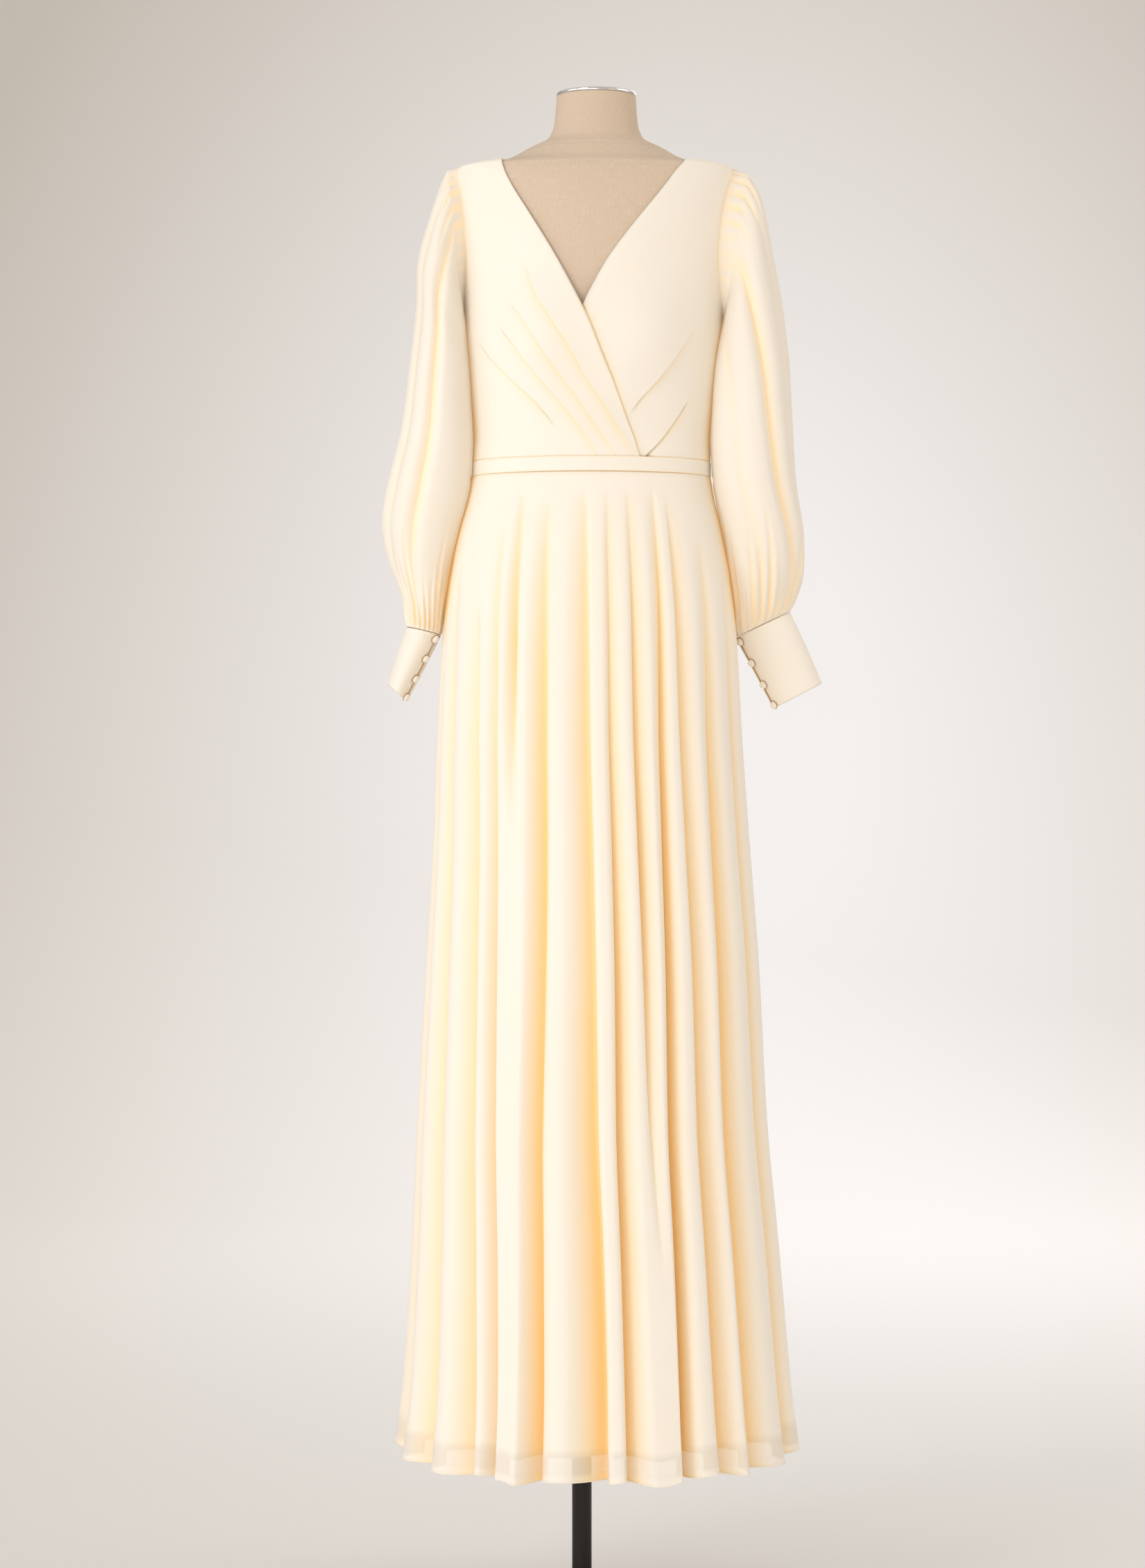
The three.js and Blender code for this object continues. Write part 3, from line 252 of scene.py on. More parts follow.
def table(names, *rows):
    """Named columns of sizes, sorted upwards by the first column."""
    return dict(zip(names.split(), np.array(sorted(rows), float).T))


def size_at(sizes, column, height):
    """One column at any heights, on a monotone cubic curve."""
    x, y = sizes["z"], sizes[column]
    height = np.clip(np.asarray(height, float), x[0], x[-1])
    rise = np.diff(y) / np.diff(x)
    slope = np.concatenate([rise[:1], np.zeros(len(y) - 2), rise[-1:]])
    same_way = rise[:-1] * rise[1:] > 0
    both = rise[:-1] + rise[1:]
    slope[1:-1][same_way] = (2 * rise[:-1] * rise[1:])[same_way] / both[same_way]
    i = np.clip(np.searchsorted(x, height, side="right") - 1, 0, len(x) - 2)
    span = x[i + 1] - x[i]
    t = (height - x[i]) / span
    bend = t * (1 - t) * span * (slope[i] * (1 - t) - slope[i + 1] * t)
    return y[i] + (y[i + 1] - y[i]) * t * t * (3 - 2 * t) + bend


def smooth(value):
    value = np.clip(value, 0, 1)
    return value * value * (3 - 2 * value)


# %% Sizes of the dress and the form, in millimetres
GARMENT_X = 14  # the form's centre stands this far beside the pole
EASE = 1.3  # between the form and the bodice
BODICE_CLOTH = 1.2  # chiffon on its backing
WRAP_LIFT = 2.8  # the upper front lies this much further out where it crosses
WAIST_TOP, WAIST_BOTTOM = 1331, 1313.5
HEM = 197
LINING_SHORTER = 27
ARMHOLE_LOW, SHOULDER_TIP = 1496, 1671
ARMHOLE_FRONT = {1: 19, -1: 10}  # degrees that each armhole cuts into the front, by side
ARMHOLE_BACK = 20
SEAM_ANGLE = 0.12  # degrees each side of a vertical seam

FORM = table(
    "z width front back drift",
    (1080, 146, 110, 114, -5),
    (1130, 148, 113, 118, -5),
    (1180, 146, 110, 113, -5),
    (1240, 140, 101, 101, -4.5),
    (1290, 135, 93, 91, -4),
    (1322, 133, 90, 88, -4),
    (1360, 135, 92, 88, -3.2),
    (1400, 139.5, 97, 90, -2.5),
    (1440, 144.5, 102, 94, -1.7),
    (1480, 147, 105, 97, -1),
    (1520, 147, 106, 99, -0.4),
    (1560, 147, 104, 100, 0),
    (1600, 149, 99, 100, 0.5),
    (1640, 153, 89, 95, 1),
    (1660, 156, 80, 86, 1.4),
    (1668.5, 156.5, 74, 80, 1.6),
    (1678, 106.5, 68.5, 73.5, 1.8),
    (1692.5, 78, 58.5, 60, 2),
    (1704.5, 55, 50, 50, 2.2),
    (1721, 48.4, 47, 47, 2.4),
    (1753, 45.6, 45.6, 45.6, 2.6),
)
FORM_FOOT, FORM_TOP, NECK_SEAM = 1080, 1753, 1692
BUST = {"height": 1468, "side": 72, "spread": 42, "rise": 52, "depth": 20, "bridge": 0.55}


def bust_rise(x, z, is_cloth):
    """How far the bust stands out. Cloth bridges the hollow between the two sides."""
    side = np.abs(x)
    dip = (1 - BUST["bridge"]) * np.cos(math.pi * side / (2 * BUST["side"])) ** 2
    away = np.exp(-(((side - BUST["side"]) / BUST["spread"]) ** 2))
    across = np.where(is_cloth & (side < BUST["side"]), 1 - dip, away)
    return BUST["depth"] * across * np.exp(-(((z - BUST["height"]) / BUST["rise"]) ** 2))


def form_point(angle, z, is_cloth=True):
    """Points of the form's surface at angles from the front and heights."""
    angle, z = np.broadcast_arrays(np.asarray(angle, float), np.asarray(z, float))
    is_front = np.cos(angle) > 0
    x = size_at(FORM, "width", z) * np.sin(angle)
    depth = np.where(is_front, size_at(FORM, "front", z), size_at(FORM, "back", z))
    bust = np.where(is_front, bust_rise(x, z, is_cloth) * np.cos(angle), 0)
    return np.stack([x + size_at(FORM, "drift", z), -depth * np.cos(angle) - bust, z], -1)


def unit(vectors):
    return vectors / np.maximum(np.linalg.norm(vectors, axis=-1, keepdims=True), 1e-9)


def bodice_point(angle, z, out):
    """The same points moved outwards, square to the surface."""
    step = 0.01
    around = form_point(angle + step, z) - form_point(angle - step, z)
    upward = form_point(angle, z + 0.2) - form_point(angle, z - 0.2)
    return form_point(angle, z) + unit(np.cross(around, upward)) * np.asarray(out)[..., None]


waist = 2 * math.pi * math.sqrt((133**2 + 89**2) / 2)
print(f"waist about {waist:.0f} mm round")

# %% [markdown]
# ## Cloth from a grid of points
#
# Each cut piece is a grid: rows run from top to bottom and columns from the viewer's left to right.
# Backed pieces such as the bodice get a thin wall, and single chiffon stays a single surface.
# Three numbers travel with every point: where it lies on the flat cloth, so the weave follows the
# grain; how much painted shade it carries, mostly from how deep in a fold it lies, because light
# trapped in a fold of cream chiffon turns golden; and how sheer it is.

# %% Grids and their faces


def grid_normals(grid, is_tube=False):
    down = np.gradient(grid, axis=0)
    if is_tube:
        across = np.roll(grid, -1, 1) - np.roll(grid, 1, 1)
    else:
        across = np.gradient(grid, axis=1)
    return unit(np.cross(down, across))


def in_metres(points, is_garment=True):
    shifted = np.array(points, float)
    shifted[..., 0] += GARMENT_X if is_garment else 0
    return shifted / 1000


def grid_faces(rows, columns, first=0, turned_over=False):
    """Four-sided faces of a grid whose points are numbered row by row."""
    r, c = np.meshgrid(np.arange(rows - 1), np.arange(columns - 1), indexing="ij")
    a = (r * columns + c).ravel() + first
    corners = [a, a + columns, a + columns + 1, a + 1]
    return np.stack(corners[::-1] if turned_over else corners, -1)


def rim_faces(path, offset):
    """Faces that join a path of outer points to the inner points numbered offset higher."""
    a, b = path[:-1], path[1:]
    return np.stack([a, b, b + offset, a + offset], -1)


# %% Cloth pieces


def make_mesh(name, points, faces, material):
    piece = smooth_object(name, points.reshape(-1, 3).tolist(), faces.tolist(), material)
    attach(piece, "dress_and_form")
    return piece


def stand_for(node):
    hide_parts(node)


def cloth_piece(name, grid, material, wall=0.0, painted_shade=0.0, sheer=0.0):
    """Cloth from a grid in millimetres, with its flat-cloth place, painted shade and sheerness."""
    rows, columns = grid.shape[:2]
    run = np.linalg.norm(np.diff(grid, axis=1), axis=2)
    fall = np.linalg.norm(np.diff(grid, axis=0), axis=2)
    u = np.concatenate([[0], np.cumsum(run.mean(0))])
    v = np.concatenate([[0], np.cumsum(fall.mean(1))])
    flat = np.stack(np.broadcast_arrays(u[None], v[:, None], 0.0), -1) / 1000
    painted_shade = np.broadcast_to(painted_shade, (rows, columns))
    sheer = np.broadcast_to(sheer, (rows, columns))
    points, faces = grid, grid_faces(rows, columns)
    if wall:
        numbers = np.arange(rows * columns).reshape(rows, columns)
        around = [numbers[0], numbers[:, -1], numbers[-1, ::-1], numbers[::-1, 0]]
        points = np.concatenate([grid, grid - grid_normals(grid) * wall])
        faces = np.concatenate(
            [faces, grid_faces(rows, columns, rows * columns, True)]
            + [rim_faces(path, rows * columns) for path in around]
        )
    piece = make_mesh(name, in_metres(points), faces, material)
    copies = 2 if wall else 1
    for key, kind, values in (
        ("flat_cloth", "FLOAT_VECTOR", flat.reshape(-1, 3)),
        ("painted_shade", "FLOAT", painted_shade.reshape(-1)),
        ("sheer", "FLOAT", sheer.reshape(-1)),
    ):
        attribute = piece.data.attributes.new(key, kind, "POINT")
        data = np.concatenate([values] * copies).astype(np.float32).ravel()
        attribute.data.foreach_set("vector" if kind == "FLOAT_VECTOR" else "value", data)
    return piece


def sew_on(node):
    stand_for(node)


# %% [markdown]
# ## Materials of the dress
#
# Polyester chiffon is woven from hard-twisted yarns, so its surface is a fine, slightly irregular
# crepe that scatters light: matt, with a faint sheen towards the edges of each fold. Cream chiffon
# warms to gold where light passes through several layers. A renderer could follow that light with
# translucent sheets, but it is slow and noisy. Here each point of the cloth carries a painted shade,
# deepest in a fold and also beside seams and sleeves, which blends cream to a painted gold and makes
# the cloth glow a little with painted warm light.

# %% Chiffon, lining and covered buttons
CREAM = (0.94, 0.89, 0.815, 1)
# The painted shade turns the cream towards this gold.
GOLD = (0.97, 0.7, 0.31, 1)
# Painted glow: the cloth gives off this warm light itself where it carries painted shade.
GLOW_COLOUR = (1.0, 0.66, 0.28, 1)  # colour of the light that comes through folded layers


def cloth_value(material, name, output="Fac"):
    """A value that every point of the cloth carries."""
    return add_node(material, "ShaderNodeAttribute", {"attribute_name": name}).outputs[output]


def chiffon_material(name, sheer_alpha=None, warmth=1.0, painted_glow=0.08, roughness=0.82):
    """Crepe chiffon. Sheerness is read from the cloth unless one value holds all over."""
    material, shader = new_material(
        name, Roughness=roughness, Sheen_Weight=0.25, Sheen_Roughness=0.45, Specular_IOR_Level=0.25
    )
    flat = cloth_value(material, "flat_cloth", "Vector")
    painted_shade = cloth_value(material, "painted_shade")
    cloudy = noise(material, 7.0, 3.0, flat)
    # Painted shade blends cream to gold, with a little random cloudy tone of the cloth itself.
    deep = sum_of(material, (painted_shade, 0.8 * warmth), (cloudy, 0.1 * warmth))
    colour_between(material, shader, deep, CREAM, GOLD)
    # Painted glow, stronger with the painted shade, in place of light coming through the layers.
    shader.inputs["Emission Color"].default_value = GLOW_COLOUR
    link(material, in_range(material, painted_shade, 0, 1, 0, painted_glow), shader.inputs["Emission Strength"])
    crepe = noise(material, 1300.0, 3.0, flat)
    crinkle = noise(material, 1.0, 2.0, stretched(material, flat, (260.0, 14.0, 1.0)))
    add_relief(material, shader, sum_of(material, (crepe, 0.35), (crinkle, 0.65)), 0.22, 0.0004)
    if sheer_alpha is None:
        opacity = in_range(material, cloth_value(material, "sheer"), 0.0, 1.0, 1.0, 0.8)
        link(material, opacity, shader.inputs["Alpha"])
    else:
        shader.inputs["Alpha"].default_value = sheer_alpha
    return material


chiffon = chiffon_material("chiffon")
skirt_chiffon = chiffon_material("skirt_chiffon", painted_glow=0.07)
sleeve_chiffon = chiffon_material("sleeve_chiffon", sheer_alpha=0.96, painted_glow=0.26)
lining_cloth = chiffon_material("lining", sheer_alpha=1.0, warmth=0.6, painted_glow=0.1, roughness=0.55)
print("materials:", [m.name for m in (chiffon, skirt_chiffon, sleeve_chiffon, lining_cloth)])

# %% [markdown]
# ## The crossing fronts
#
# Each front is cut on the bias and crosses the centre. Tucks are pressed from the neckline side
# over the cloth below and caught in the waist seam, then let go towards the bust, where their
# fullness becomes shape. A tuck here is one real fold: the cloth runs up to a lip, turns under
# itself and comes back out beneath.

# %% Lines of the fronts
OVER_EDGE = table(
    "z x",
    (1331, 51), (1352, 44.5), (1372, 37), (1415, 22), (1452, 6.3), (1478, -4.6), (1514, -22.3),
    (1560, -46.2), (1604, -72.3), (1640, -94), (1660, -103.5), (1671, -106.5), (1680, -108),
)
UNDER_EDGE = table(
    "z x",
    (1331, -51), (1372, -45), (1415, -36), (1452, -27), (1478, -20), (1501, -12.4), (1525, -0.5),
    (1553, 15.5), (1594, 45.5), (1617, 63.6), (1638, 79.9), (1658, 94.1), (1671, 104.5),
    (1680, 107.6),
)
OVER_TUCK_LINES = table(
    "z t1 t2 t3 t4",
    (1331, 0.03, 0.136, 0.247, 0.4),
    (1360, 0.069, 0.194, 0.301, 0.45),
    (1391, 0.113, 0.257, 0.384, 0.543),
    (1420, 0.175, 0.338, 0.486, 0.681),
    (1452, 0.22, 0.42, 0.594, 0.834),
    (1478, 0.284, 0.49, 0.696, 0.9),
    (1514, 0.346, 0.598, 0.76, 0.89),
    (1552, 0.361, 0.58, 0.73, 0.86),
    (1600, 0.35, 0.55, 0.71, 0.84),
)
OVER_TUCKS = [
    # line, start, end, height
    ("t1", 1556, 1300, 2.4),
    ("t2", 1514, 1300, 2.2),
    ("t3", 1486, 1300, 2.0),
    ("t4", 1468, 1352, 1.6),
]
UNDER_TUCK_LINES = table(
    "z t1 t2",
    (1331, 0.35, 0.593),
    (1360, 0.42, 0.72),
    (1391, 0.5, 0.807),
    (1420, 0.61, 0.865),
    (1452, 0.716, 0.9),
    (1478, 0.79, 0.92),
    (1514, 0.8, 0.92),
    (1600, 0.78, 0.9),
)
UNDER_TUCKS = [("t1", 1484, 1372, 2.4), ("t2", 1408, 1300, 0.5)]
print(len(OVER_TUCKS), "tucks on the upper front,", len(UNDER_TUCKS), "on the lower one")

# %% Seams of the bodice
BODICE_HEIGHTS = np.concatenate([np.linspace(1679.2, 1662, 26), np.linspace(1659, 1330.7, 112)])
EASE_OUT = 32  # millimetres above the waistband in which the cloth eases out to it


def armhole_angle(z, reach):
    middle = (ARMHOLE_LOW + SHOULDER_TIP) / 2
    half = (SHOULDER_TIP - ARMHOLE_LOW) / 2
    share = 1 - ((z - middle) / half) ** 2
    opened = reach * np.sqrt(np.maximum(share, 0))
    return 90 - np.maximum(opened, SEAM_ANGLE)


def angle_of(x, z):
    half_width = size_at(FORM, "width", z) + EASE + BODICE_CLOTH
    return np.arcsin(np.clip((x - size_at(FORM, "drift", z)) / half_width, -1, 1))


def seam_dip(distance, depth=0.7, reach=2.5):
    """How far cloth is pulled in beside a seam, at a distance from it in millimetres."""
    return depth * np.clip(1 - distance / reach, 0, 1) ** 2


def at_waist(z):
    """How far the cloth eases out to meet the waistband."""
    return (WRAP_LIFT - 0.1) * smooth((WAIST_TOP + EASE_OUT - z) / EASE_OUT)


# %% [markdown]
# ## One front with its tucks
#
# A tuck could be a bump or a ridge, but only a real fold shows a crisp lip with cloth beneath it.
# So the front is laid out in bands between its neckline edge, its tuck lines and its side seam.
# Each band rises to the lip of the next tuck, and the next band starts a little way back under it.
# Along the crossing edge and the seams the cloth dips, and a warm shade is painted there, as it
# is under the tuck lips and under the arm.

# %% Laying out a front
TUCK_FADE = 46  # length in which a tuck is let go
TUCK_SOFTER = 0.45  # share of a tuck's height that is left at the waist seam
FLAT_STEP = 0.6  # spacing of a tuck's columns where it has faded away
TUCK_UNDER = 1.8  # how far the cloth runs back under the lip of a tuck
BAND_COLUMNS, LAST_BAND_COLUMNS = 19, 25
CROSSING = 1506  # height below which the fronts lie on each other
# Painted shade beside the seams and the waist fades over this distance.
SEAM_SHADE = 0.9  # distance from a seam in which its warmer shade fades to a third


def front_panel(side, edge, lines, tucks, lift):
    """Grid and painted shade of one front, from the neckline edge out to the side seam."""
    z = BODICE_HEIGHTS
    half_width = size_at(FORM, "width", z) + EASE + BODICE_CLOTH
    drift = size_at(FORM, "drift", z)
    edge_x = size_at(edge, "x", z)
    outer = side * armhole_angle(z, ARMHOLE_FRONT[side]) * DEGREE
    outer_x = drift + half_width * np.sin(outer)
    # Guide lines from the neckline edge over the tucks' lips to the side seam, as angles.
    guides = [angle_of(edge_x, z)]
    guides += [angle_of(edge_x + (outer_x - edge_x) * size_at(lines, t[0], z), z) for t in tucks]
    guides.append(outer)
    angles, outs, folds = [], [], []
    shown = np.zeros_like(z)  # how much of the tuck before this band is there
    for band, (start, stop) in enumerate(zip(guides[:-1], guides[1:])):
        way = np.sign(stop - start)
        width = np.abs(stop - start) * half_width
        if band < len(tucks):
            _, top, bottom, height = tucks[band]
            rise = smooth((top - z) / TUCK_FADE) * smooth((z - bottom) / TUCK_FADE)
            rise *= TUCK_SOFTER + (1 - TUCK_SOFTER) * smooth((z - WAIST_TOP) / TUCK_FADE)
        else:
            height, rise = 0.0, np.zeros_like(z)
        last = band == len(tucks)
        tucked = np.minimum(TUCK_UNDER, width * 0.3) * shown
        begin = start + way * (FLAT_STEP * (1 - shown) * (band > 0) - tucked) / half_width
        close = stop - way * 2 * FLAT_STEP * (1 - rise) * (not last) / half_width
        for q in np.linspace(0, 1, LAST_BAND_COLUMNS if last else BAND_COLUMNS):
            q = q if last else 1 - (1 - q) ** 1.4
            angles.append(begin + (close - begin) * q)
            outs.append(height * rise * q**2)
            # Painted shade under the lip of the tuck before this band, fading away from it.
            folds.append(0.9 * shown * np.exp(-q * width / 5.0))
        if not last:  # the lip and the cloth just under it
            lip = np.minimum(0.5, width * 0.1) * rise - FLAT_STEP * (1 - rise)
            angles.append(stop + way * lip / half_width)
            outs.append(height * rise * 0.84)
            # Painted shade on the lip and in the cloth just under it.
            folds.append(rise * 0.3)
            angles.append(stop)
            outs.append(height * rise * 0.6)
            folds.append(rise)
        shown = rise
    angles, outs, folds = (np.stack(np.broadcast_arrays(*a), 1) for a in (angles, outs, folds))
    x = drift[:, None] + half_width[:, None] * np.sin(angles)
    # The upper front lies on the lower one from about the armhole on, and both meet the band.
    lifted = smooth((x + 120) / 60)
    outs = outs + EASE + BODICE_CLOTH + lift * lifted
    outs += at_waist(z[:, None]) * (1 - lifted if lift else smooth((x - 54) / 22))
    beside_seam = np.abs(angles - angles[:, -1:]) * half_width[:, None]
    beside_edge = np.abs(angles - angles[:, :1]) * half_width[:, None]
    above_waist = np.abs(z[:, None] - WAIST_TOP)
    outs -= seam_dip(beside_seam, 0.35, 2)
    outs -= seam_dip(beside_edge, 0.5, 1.4)
    outs -= seam_dip(above_waist, 0.3)
    # Painted shade along the crossing edge, beside the seams, along the waist and under the arm.
    if lift:
        crossing = 0.6 * np.exp(-beside_edge / 0.6)
    else:
        past_edge = np.maximum(x - size_at(OVER_EDGE, "x", z)[:, None], 0)
        crossing = 0.7 * np.exp(-past_edge / 2.2)
    under_arm = smooth((np.abs(angles) / DEGREE - 62) / 24) * smooth((1505 - z[:, None]) / 50)
    shades = [
        folds,
        0.55 * np.exp(-beside_seam / SEAM_SHADE),
        0.25 * np.exp(-above_waist / SEAM_SHADE),
        0.9 * under_arm,
        crossing * (z[:, None] < CROSSING),
    ]
    folds = np.maximum.reduce(np.broadcast_arrays(*shades))
    grid = bodice_point(angles, z[:, None], outs)
    return (grid[:, ::-1], folds[:, ::-1]) if side < 0 else (grid, folds)


over_grid, over_shade = front_panel(-1, OVER_EDGE, OVER_TUCK_LINES, OVER_TUCKS, WRAP_LIFT)
under_grid, under_shade = front_panel(1, UNDER_EDGE, UNDER_TUCK_LINES, UNDER_TUCKS, 0)
print("over front grid", over_grid.shape, "under front grid", under_grid.shape)

# %% [markdown]
# ## The dress form
#
# The form is a hard limbless shell covered in plain linen, with a seam round its neck. It comes
# before the dress, because the cloth rests on it. It could be sculpted, but the same table that
# shapes the bodice gives its surface, so the two fit. The weave is made from two waves for the
# yarns, streaks for thick threads and a little wobble.

# %% The form and its linen


def linen_material():
    """Plain-woven linen with uneven yarns and slubs, and a painted shade where the weave dips."""
    material, shader = new_material(
        "linen", Roughness=0.93, Specular_IOR_Level=0.2, Sheen_Weight=0.15, Sheen_Roughness=0.6
    )
    flat = cloth_value(material, "flat_cloth", "Vector")
    wobble = add_node(material, "ShaderNodeTexNoise", Vector=flat, Scale=90.0, Detail=2.0)
    moved = add_node(
        material, "ShaderNodeVectorMath", {"operation": "MULTIPLY_ADD"},
        _0=wobble.outputs["Color"], _1=(0.0012, 0.0012, 0.0), _2=flat,
    ).outputs[0]
    yarns = []
    for direction in ("X", "Y"):
        wave = add_node(
            material, "ShaderNodeTexWave", {"bands_direction": direction}, Vector=moved,
            Scale=430.0, Distortion=1.2, Detail=1.0,
        )
        yarns.append(wave.outputs["Fac"])
    streaks = [
        noise(material, 1.0, 2.0, stretched(material, flat, factors))
        for factors in ((1700.0, 110.0, 1.0), (110.0, 1700.0, 1.0))
    ]
    slub = in_range(material, sum_of(material, (streaks[0], 0.5), (streaks[1], 0.5)), 0.52, 0.72)
    weave = sum_of(material, (yarns[0], 0.5), (yarns[1], 0.5))
    # The yarns are painted darker where the weave dips, as painted shade between them.
    base = blend_colour(material, weave, (0.61, 0.465, 0.345, 1), (0.81, 0.66, 0.515, 1))
    colour_between(material, shader, slub, base, (0.86, 0.75, 0.6, 1))
    add_relief(material, shader, sum_of(material, (weave, 0.7), (slub, 0.5)), 0.5, 0.0005)
    return material


linen = linen_material()
form_heights = np.concatenate(
    [
        np.linspace(FORM_TOP, 1700, 40),
        np.linspace(1698.5, 1660, 60),
        np.linspace(1655, FORM_FOOT, 120),
    ]
)
form_angles = np.linspace(0, 2 * math.pi, 161)
form_grid = form_point(form_angles[None], form_heights[:, None], False)
groove = 0.5 * np.exp(-(((form_heights - NECK_SEAM) / 0.9) ** 2))[:, None]
form_grid = form_grid - grid_normals(form_grid) * groove[..., None]
form_top, form_foot = (
    np.broadcast_to([size_at(FORM, "drift", z), 0, z], form_grid[:1].shape)
    for z in (FORM_TOP, FORM_FOOT)
)
form_shell = cloth_piece("form_shell", np.concatenate([form_top, form_grid, form_foot]), linen)
stand_for("form_torso")
print("form shell", len(form_shell.data.polygons), "faces")

# %% [markdown]
# ## Sewing the bodice
#
# The fronts go on first, the under one beneath the other, then the two backs. At every seam the
# cloth dips a little, because the allowance is pressed in behind it. Each piece gets a real
# thickness, so its edges at the neck show, which a bare surface wouldn't give.

# %% Fronts and backs
BODICE_WALL = 0.9
NECK_HEIGHT, NECK_HALF_WIDTH, BACK_NECK_DROP = 1680, 108, 80

over_front = cloth_piece("over_front", over_grid, chiffon, wall=BODICE_WALL, painted_shade=over_shade)
sew_on("bodice_front_over")
under_front = cloth_piece("under_front", under_grid, chiffon, wall=BODICE_WALL, painted_shade=under_shade)
sew_on("bodice_front_under")


def back_panel(side):
    """Grid of half the back, from the side seam to the centre-back zip."""
    z = BODICE_HEIGHTS
    half_width = size_at(FORM, "width", z) + EASE + BODICE_CLOTH
    drop = np.clip((NECK_HEIGHT - z) / BACK_NECK_DROP, 0, 1)
    neck_x = NECK_HALF_WIDTH * (1 - drop) ** 0.8
    neck = side * angle_of(side * neck_x + size_at(FORM, "drift", z), z)
    inner = math.pi - np.maximum(neck, SEAM_ANGLE * DEGREE)
    outer = math.pi - armhole_angle(z, ARMHOLE_BACK) * DEGREE
    share = np.linspace(0, 1, 61)
    angle = outer[:, None] + (inner - outer)[:, None] * share
    out = EASE + BODICE_CLOTH - seam_dip((angle - outer[:, None]) * half_width[:, None], 0.35, 2)
    out = out - seam_dip((inner[:, None] - angle) * half_width[:, None], 0.8, 2.2)
    out = out + at_waist(z[:, None])
    out = out - seam_dip(np.abs(z[:, None] - WAIST_TOP), 0.3)
    grid = bodice_point(side * angle, z[:, None], out)
    return grid[:, ::-1] if side < 0 else grid


for side, name in ((1, "right"), (-1, "left")):
    back_grid = back_panel(side)
    back = cloth_piece(f"back_{name}", back_grid, chiffon, wall=BODICE_WALL)
    sew_on(f"bodice_back_{name}")

# %% [markdown]
# ## Waistband
#
# A straight band of chiffon on interfacing, about 17 mm deep, joins bodice and skirt. It is a
# folded strip with its edges turned in, so its face is smooth and slightly full. A plain ring would
# float off the body, so the band follows the form's own curve, and its edges roll in, with a painted
# shade along them.

# %% Waistband
BAND_WALL = 1.3
WAIST_RADIUS = 120
BAND_OUT = 0.5  # the band's face stands this far out of the upper front


def waistband(start, stop, columns):
    across = np.linspace(-1, 1, 15)
    z = (WAIST_TOP + WAIST_BOTTOM) / 2 - across * (WAIST_TOP - WAIST_BOTTOM) / 2
    angle = np.linspace(start + SEAM_ANGLE, stop - SEAM_ANGLE, columns)
    out = EASE + BODICE_CLOTH + WRAP_LIFT + BAND_OUT - 0.4 * np.abs(across[:, None]) ** 9
    ends = np.minimum(angle - start, stop - angle) * DEGREE * WAIST_RADIUS
    out = out - seam_dip(ends[None], 0.5, 2)
    return bodice_point(angle[None] * DEGREE, z[:, None], out)


for name, start, stop in (("front", -90, 90), ("back_right", 90, 180), ("back_left", -180, -90)):
    band_grid = waistband(start, stop, 161 if name == "front" else 81)
    # Painted shade along the band's rolled edges.
    rolled_edge_shade = 0.5 * np.abs(np.linspace(-1, 1, len(band_grid)))[:, None] ** 9
    band = cloth_piece(f"waistband_{name}_strip", band_grid, chiffon, wall=BAND_WALL, painted_shade=rolled_edge_shade)
    sew_on(f"waistband_{name}")

# %% [markdown]
# ## Skirt
#
# The skirt is cut nearly as a half circle. It hangs smooth from the waist seam and then falls into
# flutes: soft rounded crests with narrow valleys between, each deepening towards the hem. The table
# gives each valley its angle at waist and hem, where along the length it starts and ends, its depth
# and how far its bottom slants sideways, so that one flute can lean over the next.

# %% Skirt outline
SKIRT = table(
    "z width front back drift",
    (1313.2, 138.8, 94.4, 92.4, -4),
    (1290, 142.5, 103, 102, -4),
    (1250, 152, 118, 120, -4.5),
    (1186, 163.6, 132, 136, -5),
    (1139, 169, 140, 145, -5),
    (1025, 175.6, 155, 160, -5),
    (905, 182, 171, 175, -3),
    (745, 192.8, 192, 194, -1.5),
    (585, 201.6, 212, 212, -2),
    (425, 212.8, 230, 228, 1.6),
    (265, 225.2, 247, 243, 3.6),
    (197, 234, 255, 250, 3.6),
)
SKIRT_TOP = 1313.2
print("skirt length", round(SKIRT_TOP - HEM), "mm")

# %% The valleys between the flutes
WHOLE = math.inf
SKIRT_VALLEYS = np.array([
    # waist, hem, start, end, depth, lean
    (-169, -169, 0.04, WHOLE, 40, 10),
    (-153, -154, 0.05, WHOLE, 44, -8),
    (-138, -139, 0.03, WHOLE, 38, 10),
    (-124, -126, 0.06, WHOLE, 44, 0),
    (-110, -114, 0.05, WHOLE, 36, -10),
    (-97, -103, 0.08, WHOLE, 34, 0),
    (-83, -79, 0.08, WHOLE, 34, 6),
    (-69, -59, 0.1, WHOLE, 32, 12),
    (-52, -38.8, 0.13, WHOLE, 40, 16),
    (-41, -31.4, 0.05, WHOLE, 32, 12),
    (-33, -25.5, 0.02, 0.36, 50, 12),
    (-19.3, -20.9, 0.03, WHOLE, 42, 16),
    (-2.5, -0.2, 0.02, WHOLE, 38, 16),
    (7.5, 10.9, 0.02, WHOLE, 32, -14),
    (17, 21.5, 0.02, 0.8, 36, -14),
    (29.5, 24.4, 0.02, WHOLE, 42, 12),
    (36.4, 40.5, 0.03, WHOLE, 40, -12),
    (53.5, 49.8, 0.07, WHOLE, 38, 12),
    (70, 74, 0.1, WHOLE, 28, 8),
    (84, 88, 0.1, WHOLE, 32, 0),
    (97, 99, 0.08, WHOLE, 36, 0),
    (110, 110, 0.05, WHOLE, 38, 8),
    (124, 123, 0.06, WHOLE, 42, -10),
    (138, 138, 0.04, WHOLE, 40, 8),
    (153, 154, 0.05, WHOLE, 42, 0),
    (169, 169, 0.04, WHOLE, 40, -10),
])
